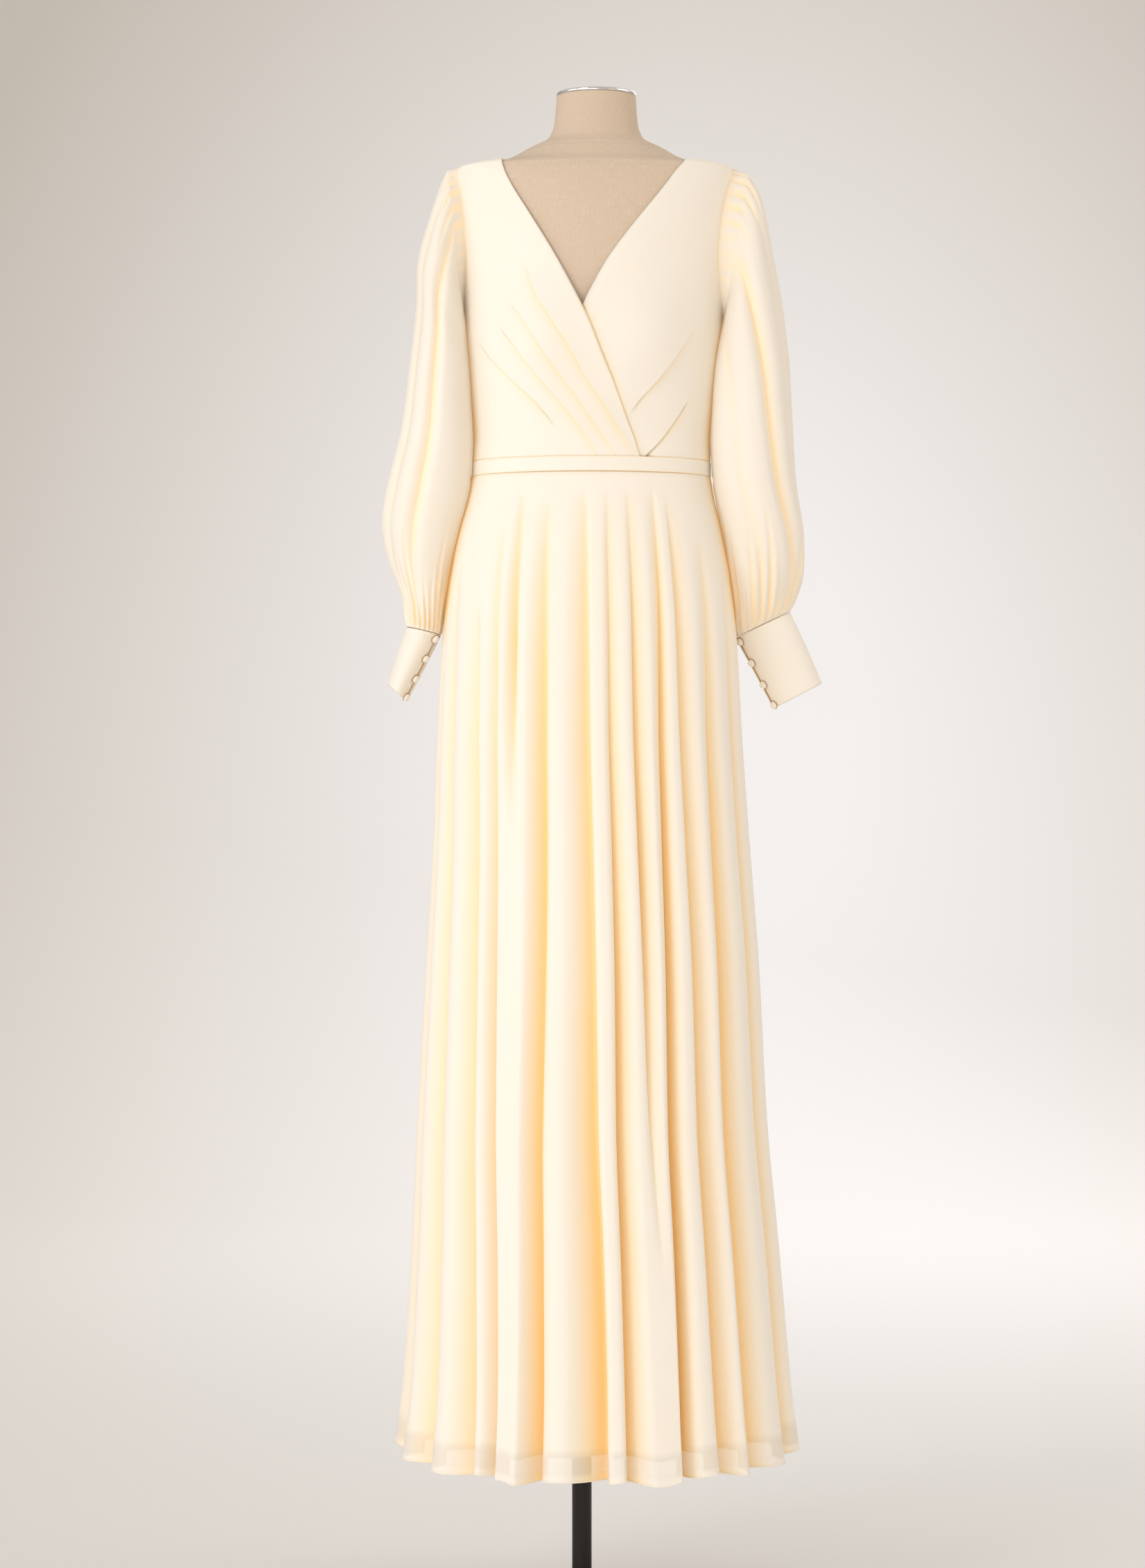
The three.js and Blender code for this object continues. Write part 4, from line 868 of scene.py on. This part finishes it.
FLUTES = len(SKIRT_VALLEYS)
VALLEY_GROWTH = 0.68  # power by which a valley deepens from its start to the hem
VALLEY_ROUND = 0.06  # share of half a flute over which the bottom of a valley is rounded
VALLEY_FADE = 0.476  # share of its own length after which a valley that ends gets shallower
WANDER = 0.55  # degrees by which a valley strays from a straight line
SWELL = 0.07  # share by which a valley's depth varies along it
VALLEY_POWER, LEAN_POWER = 2.5, 0.05  # steeper on the side that a valley leans to
# Degrees from the front between which the painted shade beside a sleeve comes, and goes again
UNDER_ARM = ((66, 86), (118, 104))
print(FLUTES, "flutes")


def valley_at(number, share):
    """Angle, depth and lean of numbered valleys at shares of the skirt's length."""
    waist, hem, start, end, depth, lean = np.moveaxis(SKIRT_VALLEYS[number], -1, 0)
    wander = WANDER * share * np.sin(6.5 * share + 2.3 * number)
    grown = np.clip((share - start) / (1 - start), 0, 1) ** VALLEY_GROWTH
    fade = 1 - np.clip((share / end - VALLEY_FADE) / (1 - VALLEY_FADE), 0, 1)
    swell = 1 + SWELL * np.sin(7 * share + 1.7 * number)
    return waist + (hem - waist) * share + wander, depth * grown * fade * swell, lean


def skirt_points(places, shares):
    """Skirt points and their painted shade. A place counts flutes round from the centre back."""
    places, shares = np.broadcast_arrays(places[None], shares[:, None])
    flute = np.floor(places).astype(int)
    across = places - flute
    before, after = flute % FLUTES, (flute + 1) % FLUTES
    start, _, _ = valley_at(before, shares)
    stop, _, _ = valley_at(after, shares)
    stop = stop + np.where(before == FLUTES - 1, 360, 0)
    angle = (start + (stop - start) * across) * DEGREE
    _, depth, lean = valley_at(np.where(across < 0.5, before, after), shares)
    q = 1 - np.abs(1 - 2 * across)
    rounded = np.sqrt(q**2 + VALLEY_ROUND**2)
    power = VALLEY_POWER + LEAN_POWER * lean * np.where(across < 0.5, 1, -1)
    pressed = np.clip((1 - rounded) / (1 - VALLEY_ROUND), 0, 1) ** power
    press = depth * pressed
    # A hem is never quite level: each flute drops by its own millimetre or two.
    uneven = 2.2 * np.sin(1.9 * places + 0.6) + 1.6 * np.sin(4.3 * places)
    z = SKIRT_TOP + (HEM - SKIRT_TOP) * shares - uneven * shares**3
    sin, cos = np.sin(angle), np.cos(angle)
    deep = np.where(cos > 0, size_at(SKIRT, "front", z), size_at(SKIRT, "back", z))
    slant = np.tan(lean * DEGREE)
    x = size_at(SKIRT, "width", z) * sin - press * (sin - slant * cos) + size_at(SKIRT, "drift", z)
    y = -deep * cos + press * (cos + slant * sin)
    round_from_front = np.abs((angle / DEGREE + 180) % 360 - 180)
    # Painted shade at the top of the skirt's sides, where the sleeves hang beside it.
    beside_sleeve = 1 - smooth((shares - 0.12) / 0.07)
    for none, full in UNDER_ARM:
        beside_sleeve = beside_sleeve * smooth((round_from_front - none) / (full - none))
    # Painted shade grows with a valley's depth. The valleys get wider towards the hem, so light
    # reaches deeper into them there and less shade is painted.
    deep_in = np.clip(press / (6 + 24 * shares**0.7), 0, 1)
    return np.stack([x, y, z], -1), np.maximum(deep_in, beside_sleeve)


# %% [markdown]
# ## Cutting the skirt into panels
#
# The skirt is three panels, joined at the side seams and the centre back. A cloth simulation could
# drop each panel from the waist, but it wouldn't put a valley where this skirt has one. The panels
# are therefore read off the valleys, tucked in behind the waistband at the top and rolled at the
# hem, and the last thumb's width is sheer, because no lining lies behind it.

# %% Skirt panels
HEM_ROLL = 0.9
LEFT_SIDE_SEAM, RIGHT_SIDE_SEAM, CENTRE_BACK_SEAM = 5, 19, 25
FLUTE_COLUMNS = 20
SEAM_INSET = 0.15
SHEER_FROM, SHEER_FADE = 0.966, 0.012  # shares of the skirt's length


def rolled_hem(grid):
    """Extra rows that roll the cloth's lower edge back on itself."""
    normal = grid_normals(grid)[-1]
    rows = []
    for turn in (35, 90, 145, 200, 255):
        row = grid[-1] + normal * HEM_ROLL * math.sin(turn * DEGREE)
        row[:, 2] += HEM_ROLL * (1 - math.cos(turn * DEGREE)) - 0.2
        rows.append(row)
    return np.concatenate([grid, np.stack(rows)])


SKIRT_SHARES = np.concatenate(
    [[0, 0.0008], np.linspace(0.005, 0.2, 32), np.linspace(0.208, 0.962, 66), np.linspace(0.967, 1, 8)]
)


def skirt_panel(first, last):
    places = np.linspace(first + 0.5, last + 0.5, (last - first) * FLUTE_COLUMNS + 1)
    grid, deep = skirt_points(places, SKIRT_SHARES)
    for edge, beside in ((0, 1), (-1, -2)):
        grid[:, edge] += unit(grid[:, beside] - grid[:, edge]) * SEAM_INSET
    sheer = smooth((SKIRT_SHARES - SHEER_FROM) / SHEER_FADE)
    sheer[-2:] = 0.4
    inward = grid_normals(grid)[:1]
    tucked = [grid[:1] - inward * 1.6 + np.array([0, 0, 3.0]), grid[:1] - inward * 0.5]
    grid = rolled_hem(np.concatenate([*tucked, grid[1:]]))
    # Painted shade where the skirt tucks in behind the waistband, and less of it on the rolled hem.
    deep = np.concatenate([np.full_like(deep[:1], 0.5), deep])
    deep[1] = 0.35
    sheer = np.concatenate([sheer[:1], sheer])
    extra = len(grid) - len(sheer)
    sheer = np.concatenate([sheer, np.full(extra, 0.1)])[:, None]
    deep = np.concatenate([deep, np.repeat(deep[-1:], extra, 0)])
    fade = np.concatenate([np.ones(len(grid) - extra), np.full(extra, 0.6)])[:, None]
    return grid, deep * fade, sheer


SKIRT_PANELS = [
    ("skirt_front", LEFT_SIDE_SEAM, RIGHT_SIDE_SEAM),
    ("skirt_back_right", RIGHT_SIDE_SEAM, CENTRE_BACK_SEAM),
    ("skirt_back_left", CENTRE_BACK_SEAM, LEFT_SIDE_SEAM + FLUTES),
]
for node, first, last in SKIRT_PANELS:
    panel_grid, deep, sheer = skirt_panel(first, last)
    panel = cloth_piece(f"{node}_panel", panel_grid, skirt_chiffon, painted_shade=deep, sheer=sheer)
    sew_on(node)

# %% [markdown]
# ## Lining
#
# The lining is a plainer, denser cloth cut to the same flare and hung from the same seam. It ends a
# thumb's width above the hem, so the last of the chiffon is sheer. It is the skirt's own surface
# moved a few millimetres inwards, so the two can never cut through each other.

# %% Lining
LINING_BEHIND, LINING_LOOSE = 1.9, 2.2  # millimetres behind the chiffon at the seam, and more below
lining_end = 1 - LINING_SHORTER / (SKIRT_TOP - HEM)
lining_shares = np.linspace(0.004, lining_end, 70)
lining_places = np.linspace(0, FLUTES, FLUTES * FLUTE_COLUMNS // 2 + 1)
lining_grid, lining_shade = skirt_points(lining_places, lining_shares)
inwards = -grid_normals(lining_grid[:, :-1], True)
inwards = np.concatenate([inwards, inwards[:, :1]], 1)
hang = LINING_BEHIND + LINING_LOOSE * smooth(lining_shares / 0.2)
lining_grid = lining_grid + inwards * hang[:, None, None]
# The lining carries the skirt's painted shade in its valleys too.
lining = cloth_piece("lining_tube", lining_grid, lining_cloth, painted_shade=lining_shade)
sew_on("skirt_lining")

# %% [markdown]
# ## Sleeves
#
# A bishop sleeve is cut wide, eased into the armhole with small gathers over the shoulder, and
# gathered again into a deep cuff. Between them it hangs empty, so its fullness drops and folds
# lengthwise. It could be a bent tube, but an empty sleeve is no tube: it lies flat against the body
# and swells behind. So the tables give a tilted oval at each station from head to cuff.

# %% Sleeve and cuff sections
# inner x and z, outer x and z, front y, back y, share of the long folds' depth
SLEEVE_RIGHT = np.array([
    (148, 1488, 178, 1665.5, -38, 39, 0.5),
    (145, 1480, 190, 1646, -47, 45, 0.8),
    (142, 1469, 199, 1616, -58, 48, 1),
    (139, 1453, 207, 1570, -68, 45, 1),
    (136, 1430, 217, 1512, -74, 42, 1),
    (135, 1395, 225, 1446, -75, 40, 1),
    (134, 1350, 229, 1380, -72, 42, 1),
    (137, 1300, 234, 1310, -65, 48, 1),
    (146, 1246, 244, 1250, -54, 58, 0.9),
    (153, 1198, 244, 1206, -38, 66, 0.7),
    (160, 1152, 236.5, 1180, -14, 64, 0.3),
    (164.3, 1130.3, 228.2, 1160.8, 5, 55, 0),
])
SLEEVE_LEFT = np.array([
    (148, 1488, 169, 1667, -34, 39, 0.5),
    (145, 1480, 179, 1645, -44, 45, 0.8),
    (143, 1469, 192, 1606, -58, 48, 1),
    (142, 1453, 203, 1562, -66, 45, 1),
    (141, 1430, 205, 1506, -73, 42, 1),
    (140, 1395, 213, 1436, -74, 40, 1),
    (138, 1350, 222, 1370, -71, 42, 1),
    (140, 1300, 238, 1306, -64, 48, 1),
    (151, 1250, 245, 1262, -55, 58, 0.9),
    (163, 1204, 239, 1220, -44, 62, 0.7),
    (173, 1156, 222, 1176, -30, 54, 0.3),
    (177, 1132.8, 217, 1142.3, -20, 46, 0),
])
CUFF_RIGHT = np.array([
    (164.3, 1129.4, 228.2, 1159.9, 5, 55, 0),
    (187, 1088.5, 248, 1118.5, 7, 58, 0),
    (208.8, 1047.6, 265.6, 1077, 8, 60, 0),
])
CUFF_LEFT = np.array([
    (177, 1131.9, 217, 1141.4, -20, 46, 0),
    (197, 1094, 229.5, 1109, -4, 66, 0),
    (217.6, 1056.5, 241, 1076.5, 12, 86, 0),
])
SLEEVE_FOLDS = {
    # side: angle at the head, angle at the cuff, depth, half width in degrees
    1: [
        (-150, -112, 6, 26),
        (-70, 6, 5, 28),
        (-14, 60, 11, 20),
        (38, 100, 4, 26),
        (86, 128, 7, 26),
        (140, 165, 7, 26),
    ],
    -1: [
        (-150, -135, 6, 26),
        (-62, -50, 2, 30),
        (10, 12, 10, 20),
        (60, 56, 6, 26),
        (112, 106, 7, 26),
        (166, 165, 7, 24),
    ],
}
print("right sleeve", len(SLEEVE_RIGHT), "sections, left sleeve", len(SLEEVE_LEFT))

# %% Laying a sleeve against the body
SLEEVE_CLEAR = 1.4
BAND_PROUD = 3.3  # the waistband stands this far out of the bodice
BAND_REACH, BAND_EASE = 16, 5  # height from the band's middle within which it lifts a sleeve
BESIDE_BELOW = ARMHOLE_LOW + 60


def beside_body(points, clearance):
    """Moves points out of the body and the skirt, so that the cloth lies against them."""
    x, y, z = np.moveaxis(points.copy(), -1, 0)
    is_skirt = z < SKIRT_TOP
    by_band = smooth((BAND_REACH - np.abs(z - (WAIST_TOP + WAIST_BOTTOM) / 2)) / BAND_EASE)
    cloth = np.where(is_skirt, 0, EASE + BODICE_CLOTH) + BAND_PROUD * by_band

    def either(column):
        return np.where(is_skirt, size_at(SKIRT, column, z), size_at(FORM, column, z))

    drift = either("drift")
    width = either("width") + cloth + clearance
    depth = np.where(y < 0, either("front"), either("back")) + cloth + clearance
    share = np.hypot((x - drift) / width, y / depth)
    push = np.where((share < 1) & (z < BESIDE_BELOW), 1 / np.maximum(share, 0.2), 1)
    touching = smooth((1.02 - share) / 0.04) * (z < BESIDE_BELOW)
    return np.stack([drift + (x - drift) * push, y * push, z], -1), touching


def between_sections(sections, place):
    """Sections at fractional places, on a smooth curve through the table's rows."""
    last = len(sections) - 1
    place = np.clip(place, 0, last)
    i = np.clip(np.floor(place).astype(int), 0, last - 1)
    t = (place - i)[:, None]
    p0, p1, p2, p3 = (sections[np.clip(i + k, 0, last)] for k in (-1, 0, 1, 2))
    bend = 2 * p0 - 5 * p1 + 4 * p2 - p3 + t * (3 * (p1 - p2) + p3 - p0)
    return p1 + 0.5 * t * (p2 - p0 + t * bend)


def oval_points(sections, side, angle, drawn_in):
    inner_x, inner_z, outer_x, outer_z, front, back, _ = (column[:, None] for column in sections.T)
    half_x, half_z, half_y = (outer_x - inner_x) / 2, (outer_z - inner_z) / 2, (back - front) / 2
    shrink = 1 - drawn_in / np.maximum(np.hypot(half_x, half_z) * 0.5 + half_y * 0.5, 1)
    outward = side * np.sin(angle) * shrink
    x = side * ((inner_x + outer_x) / 2 + half_x * outward)
    y = (front + back) / 2 - half_y * np.cos(angle) * shrink
    z = (inner_z + outer_z) / 2 + half_z * outward
    return np.stack(np.broadcast_arrays(x, y, z), -1)


def armhole_points(side, angle, allowance=0.0):
    """The armhole seam, or a line that lies a few millimetres under the bodice beside it."""
    middle = (ARMHOLE_LOW + SHOULDER_TIP) / 2
    half = (SHOULDER_TIP - ARMHOLE_LOW) / 2 + allowance
    z = middle + half * side * np.sin(angle)
    is_front = np.cos(angle) > 0
    opened = np.where(is_front, ARMHOLE_FRONT[side], ARMHOLE_BACK) * np.abs(np.cos(angle))
    opened = opened + allowance * 0.38 * np.abs(np.cos(angle))
    around = np.where(is_front, 90 - opened, 90 + opened)
    out = np.full_like(z, EASE + 0.85 - allowance * 0.3)
    return bodice_point(side * around * DEGREE, z, out)


# %% [markdown]
# ## Folds and gathers of the sleeves
#
# Two kinds of fullness show. Long folds run down the hanging cloth, each from an angle at the head
# to an angle at the cuff. Gathers are short and fine: pleats over the shoulder and puckers above
# the cuff, which fade at uneven lengths because they are drawn up by hand. Both press the oval in,
# and a warm shade is painted where the cloth is pressed in, where it lies against the body and
# along the armhole seam.

# %% Sleeve cloth
SLEEVE_COLUMNS, SLEEVE_STEPS = 260, 11
GATHERS, HEAD_PLEATS = 22, 30
HEAD_DEPTH, HEAD_LENGTH = 2.4, 52  # of the gathers over the shoulder
CUFF_DEPTH, CUFF_LENGTH = 3.8, 92  # of the gathers above the cuff
SEAM_ALLOWANCE = 3.0  # how far the sleeve's cloth runs in under the bodice
GATHER_SHARPNESS, PLEAT_SHARPNESS = 1.3, 1.6


def lengthwise_folds(side, angle, share):
    """How far the long folds press the sleeve in, at angles in degrees and shares of its length."""
    pressed = 0
    for head, cuff, depth, half_width in SLEEVE_FOLDS[side]:
        away = np.abs((angle - head - (cuff - head) * share + 540) % 360 - 180)
        q = np.minimum(np.sqrt((away / half_width) ** 2 + 0.08**2), 1)
        pressed = pressed + depth * (1 - q) ** 2
    return pressed


def sleeve_grid(sections, side):
    """Sleeve points from the armhole seam to the cuff seam, and their painted shade."""
    angle = np.linspace(-math.pi, math.pi, SLEEVE_COLUMNS + 1)
    place = np.linspace(0, len(sections) - 1, (len(sections) - 1) * SLEEVE_STEPS + 1)
    shape = between_sections(sections, place)
    share = (place / (len(sections) - 1))[:, None]
    from_head = SHOULDER_TIP - shape[:, 3:4]
    from_cuff = shape[:, 3:4] - sections[-1, 3]
    on_top = smooth(side * np.sin(angle) * 2)[None]
    bunched = 0.9 * np.sin(3 * angle + side)
    wave = (0.5 - 0.5 * np.cos(GATHERS * angle + bunched))[None] ** GATHER_SHARPNESS
    pleat = (0.5 - 0.5 * np.cos(HEAD_PLEATS * angle + 2 * bunched))[None] ** PLEAT_SHARPNESS
    # Drawn up by hand, the gathers are closer here and longer there.
    length = (1 + 0.45 * np.sin(5 * angle + 2 * side) + 0.25 * np.sin(11 * angle))[None]
    head = HEAD_DEPTH * on_top * (1 - smooth(from_head / (HEAD_LENGTH * length)))
    cuff = CUFF_DEPTH * (1 - smooth(from_cuff / (CUFF_LENGTH * length)))
    cuff = cuff * (1 - 0.7 * smooth(1 - from_cuff / 6))
    folds = shape[:, 6:7] * lengthwise_folds(side, side * angle[None] / DEGREE, share)
    drawn = folds + cuff * (1.4 * wave - 0.4) + head * (1.4 * pleat - 0.4)
    grid, touching = beside_body(oval_points(shape, side, angle[None], drawn), SLEEVE_CLEAR)
    # Painted shade in the long folds and gathers, and where the sleeve lies against the body.
    deep = np.clip((folds - 2) / 10, 0, 1) + cuff * wave / 4.5 + head * pleat / 3.5
    deep = np.clip(np.maximum(deep, touching), 0, 1)
    # A strip runs from under the bodice's edge to the seam, and from there to the first section.
    seam = armhole_points(side, angle)[None]
    steps = np.linspace(0, 1, 8)[:-1]
    rows = [armhole_points(side, angle, SEAM_ALLOWANCE)[None]]
    rows += [seam + (grid[:1] - seam) * t for t in steps]
    # Painted shade along the seam strip, strongest at the seam, and in the pleats of the head.
    start = [np.full_like(deep[:1], 0.6)]
    start += [deep[:1] * t + (0.5 * (1 - t) ** 4 + 0.45 * pleat * t**0.5) for t in steps]
    return np.concatenate(rows + [grid]), np.concatenate(start + [deep])


ARMS = [
    ("right", 1, SLEEVE_RIGHT, CUFF_RIGHT, -72),
    ("left", -1, SLEEVE_LEFT, CUFF_LEFT, 58),
]
for name, side, sections, _, _ in ARMS:
    arm_grid, arm_shade = sleeve_grid(sections, side)
    arm = cloth_piece(f"bishop_sleeve_{name}", arm_grid, sleeve_chiffon, painted_shade=arm_shade * 0.7)
    sew_on(f"sleeve_{name}")

# %% [markdown]
# ## Cuffs, buttons and loops
#
# The cuff is a doubled, interfaced band. It closes edge to edge with a row of small domed buttons
# covered in the same cloth, each held by a loop of rouleau, a narrow bias tube. The buttons are
# turned about an axis like a bead on a lathe, because a covered button is a round metal shell under
# its cloth, and the loops are thin tubes along a path round each button.

# %% Cuff, button and loop helpers
COVERED_BUTTON = {"radius": 4.5, "height": 4.2}
BUTTONS_PER_CUFF = 4
BUTTON_MARGIN = 0.1  # share of the cuff's length above the first button
CUFF_WALL = 1.2
LOOP_RADIUS, SHADOW_CORD_RADIUS = 0.6, 0.75


def cuff_grid(sections, side, opening):
    turn = np.linspace(0.6, 359.4, 121)
    place = np.linspace(0, len(sections) - 1, 33)
    shape = between_sections(sections, place)
    edge = np.minimum(place, place[-1] - place)[:, None] * 40
    pinch = 0.7 * np.clip(1 - edge / 2.2, 0, 1) ** 2
    grid = oval_points(shape, side, (opening + turn)[None] * DEGREE, pinch)
    return beside_body(grid, SLEEVE_CLEAR * 0.3)[0]


def lathe(name, profile, material, segments):
    """A turned piece about +Z from pairs of radius and height in millimetres."""
    turn = np.linspace(0, 2 * math.pi, segments, endpoint=False)
    points = np.array([[(r * math.cos(a), r * math.sin(a), h) for a in turn] for r, h in profile])
    ring = np.arange(segments)
    faces = []
    for row in range(len(profile) - 1):
        a = row * segments + ring
        b = row * segments + np.roll(ring, -1)
        faces.append(np.stack([a, b, b + segments, a + segments], -1))
    return make_mesh(name, points / 1000, np.concatenate(faces), material)


button_cloth = chiffon_material("button_cloth", sheer_alpha=1.0, warmth=0.5, painted_glow=0.0)
# Dark brown cord with a random twisted tone. Along the cuff's opening its dark colour is a painted
# shadow of the gap between the edges, and the loops are made of the same cord.
loop_and_shadow_cord, loop_shader = new_material("loop_and_shadow_cord", Roughness=0.8, Sheen_Weight=0.2)
twist = noise(loop_and_shadow_cord, 700.0, 2.0)
colour_between(loop_and_shadow_cord, loop_shader, twist, (0.36, 0.21, 0.09, 1), (0.62, 0.42, 0.22, 1))


def button_profile(radius, height):
    dome = [(0.001, 0.0), (radius * 0.62, 0.0), (radius * 0.7, height * 0.1)]
    for turn in np.linspace(-20, 90, 12) * DEGREE:
        dome.append((max(radius * math.cos(turn), 0.001), height * (0.42 + 0.58 * math.sin(turn))))
    return dome


def tube_along(name, path, radius, material):
    """A thin round cord as a mesh along a path in millimetres."""
    curve = bpy.data.curves.new(name, "CURVE")
    curve.dimensions = "3D"
    curve.bevel_depth = radius / 1000
    curve.bevel_resolution = 2
    spline = curve.splines.new("POLY")
    spline.points.add(len(path) - 1)
    for point, place in zip(spline.points, in_metres(path)):
        point.co = (*place, 1)
    curve.materials.append(material)
    curve.use_fill_caps = True
    piece = add_object(name, curve)
    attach(piece, "dress_and_form")


def cuff_point(sections, side, station, degrees):
    """A point of the cuff's outside at a fractional station and an angle round it."""
    oval = between_sections(sections, np.array([station]))
    return oval_points(oval, side, np.array([[degrees * DEGREE]]), 0)[0, 0]


# %% A button with its loop
BUTTON_ANGLE = 7  # degrees from the cuff's opening
BUTTON_TILT = np.array([0, -0.5, 0])  # sewn on loosely, each button tips a little to the front
BUTTON_GAP = 0.45
LOOP_SLACK, LOOP_TAIL = 0.3, 3.5
LOOP_OPEN = 0.72 * math.pi  # the loop runs this far round the button to each side


def add_button(name, side, sections, opening, number):
    """A covered button beside the cuff's opening, and the loop that holds it."""
    share = BUTTON_MARGIN + (1 - 1.6 * BUTTON_MARGIN) * (number - 1) / (BUTTONS_PER_CUFF - 1)
    station = share * (len(sections) - 1)
    beside = opening + side * BUTTON_ANGLE
    point = partial(cuff_point, sections, side)
    seat = point(station, beside)
    down = point(station + 0.02, beside) - point(station - 0.02, beside)
    normal = unit(np.cross(down, point(station, beside + 1) - point(station, beside - 1)))
    along = unit(down)
    across = np.cross(normal, along)
    across = across * (np.sign(np.dot(across, seat - point(station, opening))) or 1)

    profile = button_profile(**COVERED_BUTTON)
    button = lathe(f"covered_button_{name}_{number}", profile, button_cloth, 28)
    button.rotation_euler = Vector(normal + BUTTON_TILT).to_track_quat("Z", "Y").to_euler()
    button.location = in_metres(seat + normal * BUTTON_GAP)
    stand_for(f"cuff_button_{name}_{number}")

    reach = COVERED_BUTTON["radius"] + LOOP_SLACK
    foot = seat + normal * 0.8
    ring = [
        foot + along * reach * math.sin(turn) * 0.95 + across * reach * math.cos(turn)
        for turn in np.linspace(-LOOP_OPEN, LOOP_OPEN, 22)
    ]
    tail = foot - across * (reach + LOOP_TAIL) - normal * 0.6
    path = np.array([tail - along * 1.4, *ring, tail + along * 1.4])
    tube_along(f"rouleau_loop_{name}_{number}", path, LOOP_RADIUS, loop_and_shadow_cord)


# %% Both cuffs
for name, side, _, sections, opening in ARMS:
    band_grid = cuff_grid(sections, side, opening)
    band = cloth_piece(f"cuff_band_{name}", band_grid, chiffon, wall=CUFF_WALL)
    sew_on(f"cuff_{name}")
    stations = between_sections(sections, np.linspace(0.03, len(sections) - 1.03, 40))
    # Painted shadow: a dark cord along the opening stands in for the shadow in the gap between edges.
    edge_line = oval_points(stations, side, np.array([[(opening + side) * DEGREE]]), -0.5)[:, 0]
    tube_along(f"shadow_line_cord_{name}", edge_line, SHADOW_CORD_RADIUS, loop_and_shadow_cord)
    for number in range(1, BUTTONS_PER_CUFF + 1):
        add_button(name, side, sections, opening, number)

# %% [markdown]
# ## Zip
#
# A concealed zip closes the back: its coil hides behind the seam, and only the slider and a small
# tear-shaped pull tab show at the top. Both are lacquered to match the cloth. The CAD pieces have
# the right shape already, so they stay, with a fine bevel to catch the light.

# %% Zip slider and pull tab
lacquer, lacquer_shader = new_material("cream_lacquer", Metallic=0.3, Roughness=0.32)
lacquer_cloud = noise(lacquer, 900.0, 2.0)
colour_between(
    lacquer, lacquer_shader, lacquer_cloud, (0.86, 0.76, 0.58, 1), (0.93, 0.85, 0.7, 1)
)
for node in ("zip_slider", "zip_pull_tab"):
    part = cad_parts[node]
    part.data.materials.clear()
    part.data.materials.append(lacquer)
    bevel = part.modifiers.new("soft edges", "BEVEL")
    bevel.width = 0.00018
    bevel.segments = 2
    print(node, "kept, with soft edges")

# %% [markdown]
# ## Neck cap and stand
#
# The form's neck ends in a turned, polished cap. Under the skirt a foot plate carries the form on a
# steel tube, which stands in a flanged hub on a heavy round base, all powder-coated black. Every
# one is round, so each is turned from a profile whose corners are softened.

# %% Metals
chrome, chrome_shader = new_material("chrome", Metallic=1.0, Base_Color=(0.78, 0.78, 0.8, 1))
shine = in_range(chrome, noise(chrome, 60.0, 4.0), 0.35, 0.7, 0.08, 0.2)
link(chrome, shine, chrome_shader.inputs["Roughness"])
black, black_shader = new_material("black_powder_coat", Metallic=0.2, Specular_IOR_Level=0.4)
wear = noise(black, 9.0, 5.0)
colour_between(black, black_shader, wear, (0.012, 0.01, 0.009, 1), (0.03, 0.026, 0.023, 1))
link(black, in_range(black, wear, 0.3, 0.7, 0.38, 0.55), black_shader.inputs["Roughness"])
add_relief(black, black_shader, noise(black, 1500.0, 3.0), 0.25, 0.0002)
print("metals:", chrome.name, black.name)

# %% Cap, plate, pole, hub and base


def rounded(profile, radius=0.8, steps=4):
    """A profile with every corner between its ends rounded."""
    path = [np.array(profile[0], float)]
    for before, corner, after in zip(profile[:-2], profile[1:-1], profile[2:]):
        before, corner, after = (np.array(p, float) for p in (before, corner, after))
        to_before, to_after = unit(before - corner), unit(after - corner)
        room_for_cut = min(np.linalg.norm(before - corner), np.linalg.norm(after - corner))
        cut = min(radius, 0.45 * room_for_cut)
        for t in np.linspace(0, 1, steps + 1):
            path.append(corner + to_before * cut * (1 - t) ** 2 + to_after * cut * t**2)
    path.append(np.array(profile[-1], float))
    return [tuple(p) for p in path]


GAP = 0.3  # between one piece of the stand and the next
PLATE_FOOT = FORM_FOOT - GAP - 8
HUB_FOOT = 10 + GAP
POLE_LENGTH = PLATE_FOOT - GAP - HUB_FOOT
STAND = [
    # name, node, material, slot, x, foot, profile
    (
        "cap_disc", "neck_cap", chrome, "chrome", GARMENT_X + 2.6, FORM_TOP + GAP,
        [(0.001, 0), (44.9, 0), (45.8, 0.9), (45.8, 3.1), (44, 4), (0.001, 4)],
    ),
    (
        "foot_plate", "form_plate", black, "black_metal", 0, PLATE_FOOT,
        [(0.001, 0), (60, 0), (62, 2), (62, 8), (0.001, 8)],
    ),
    (
        "stand_pole", "pole", black, "black_metal", 0, HUB_FOOT,
        [(0.001, 0), (11.3, 0), (11.3, POLE_LENGTH), (0.001, POLE_LENGTH)],
    ),
    (
        "stand_hub", "base_hub", black, "black_metal", 0, HUB_FOOT,
        [(11.6, 0), (34, 0), (34, 3), (20.5, 10), (15.5, 32), (14.5, 34), (11.6, 34), (11.6, 0)],
    ),
    (
        "stand_base", "base_disc", black, "black_metal", 0, 0,
        [(0.001, 0), (184, 0), (185, 1), (185, 7), (182, 10), (0.001, 10)],
    ),
]
for name, node, material, slot, x, foot, profile in STAND:
    piece = lathe(name, rounded(profile), material, 96)
    piece.location = (x / 1000, 0, foot / 1000)
    stand_for(node)
    print(name, "stands for", node)
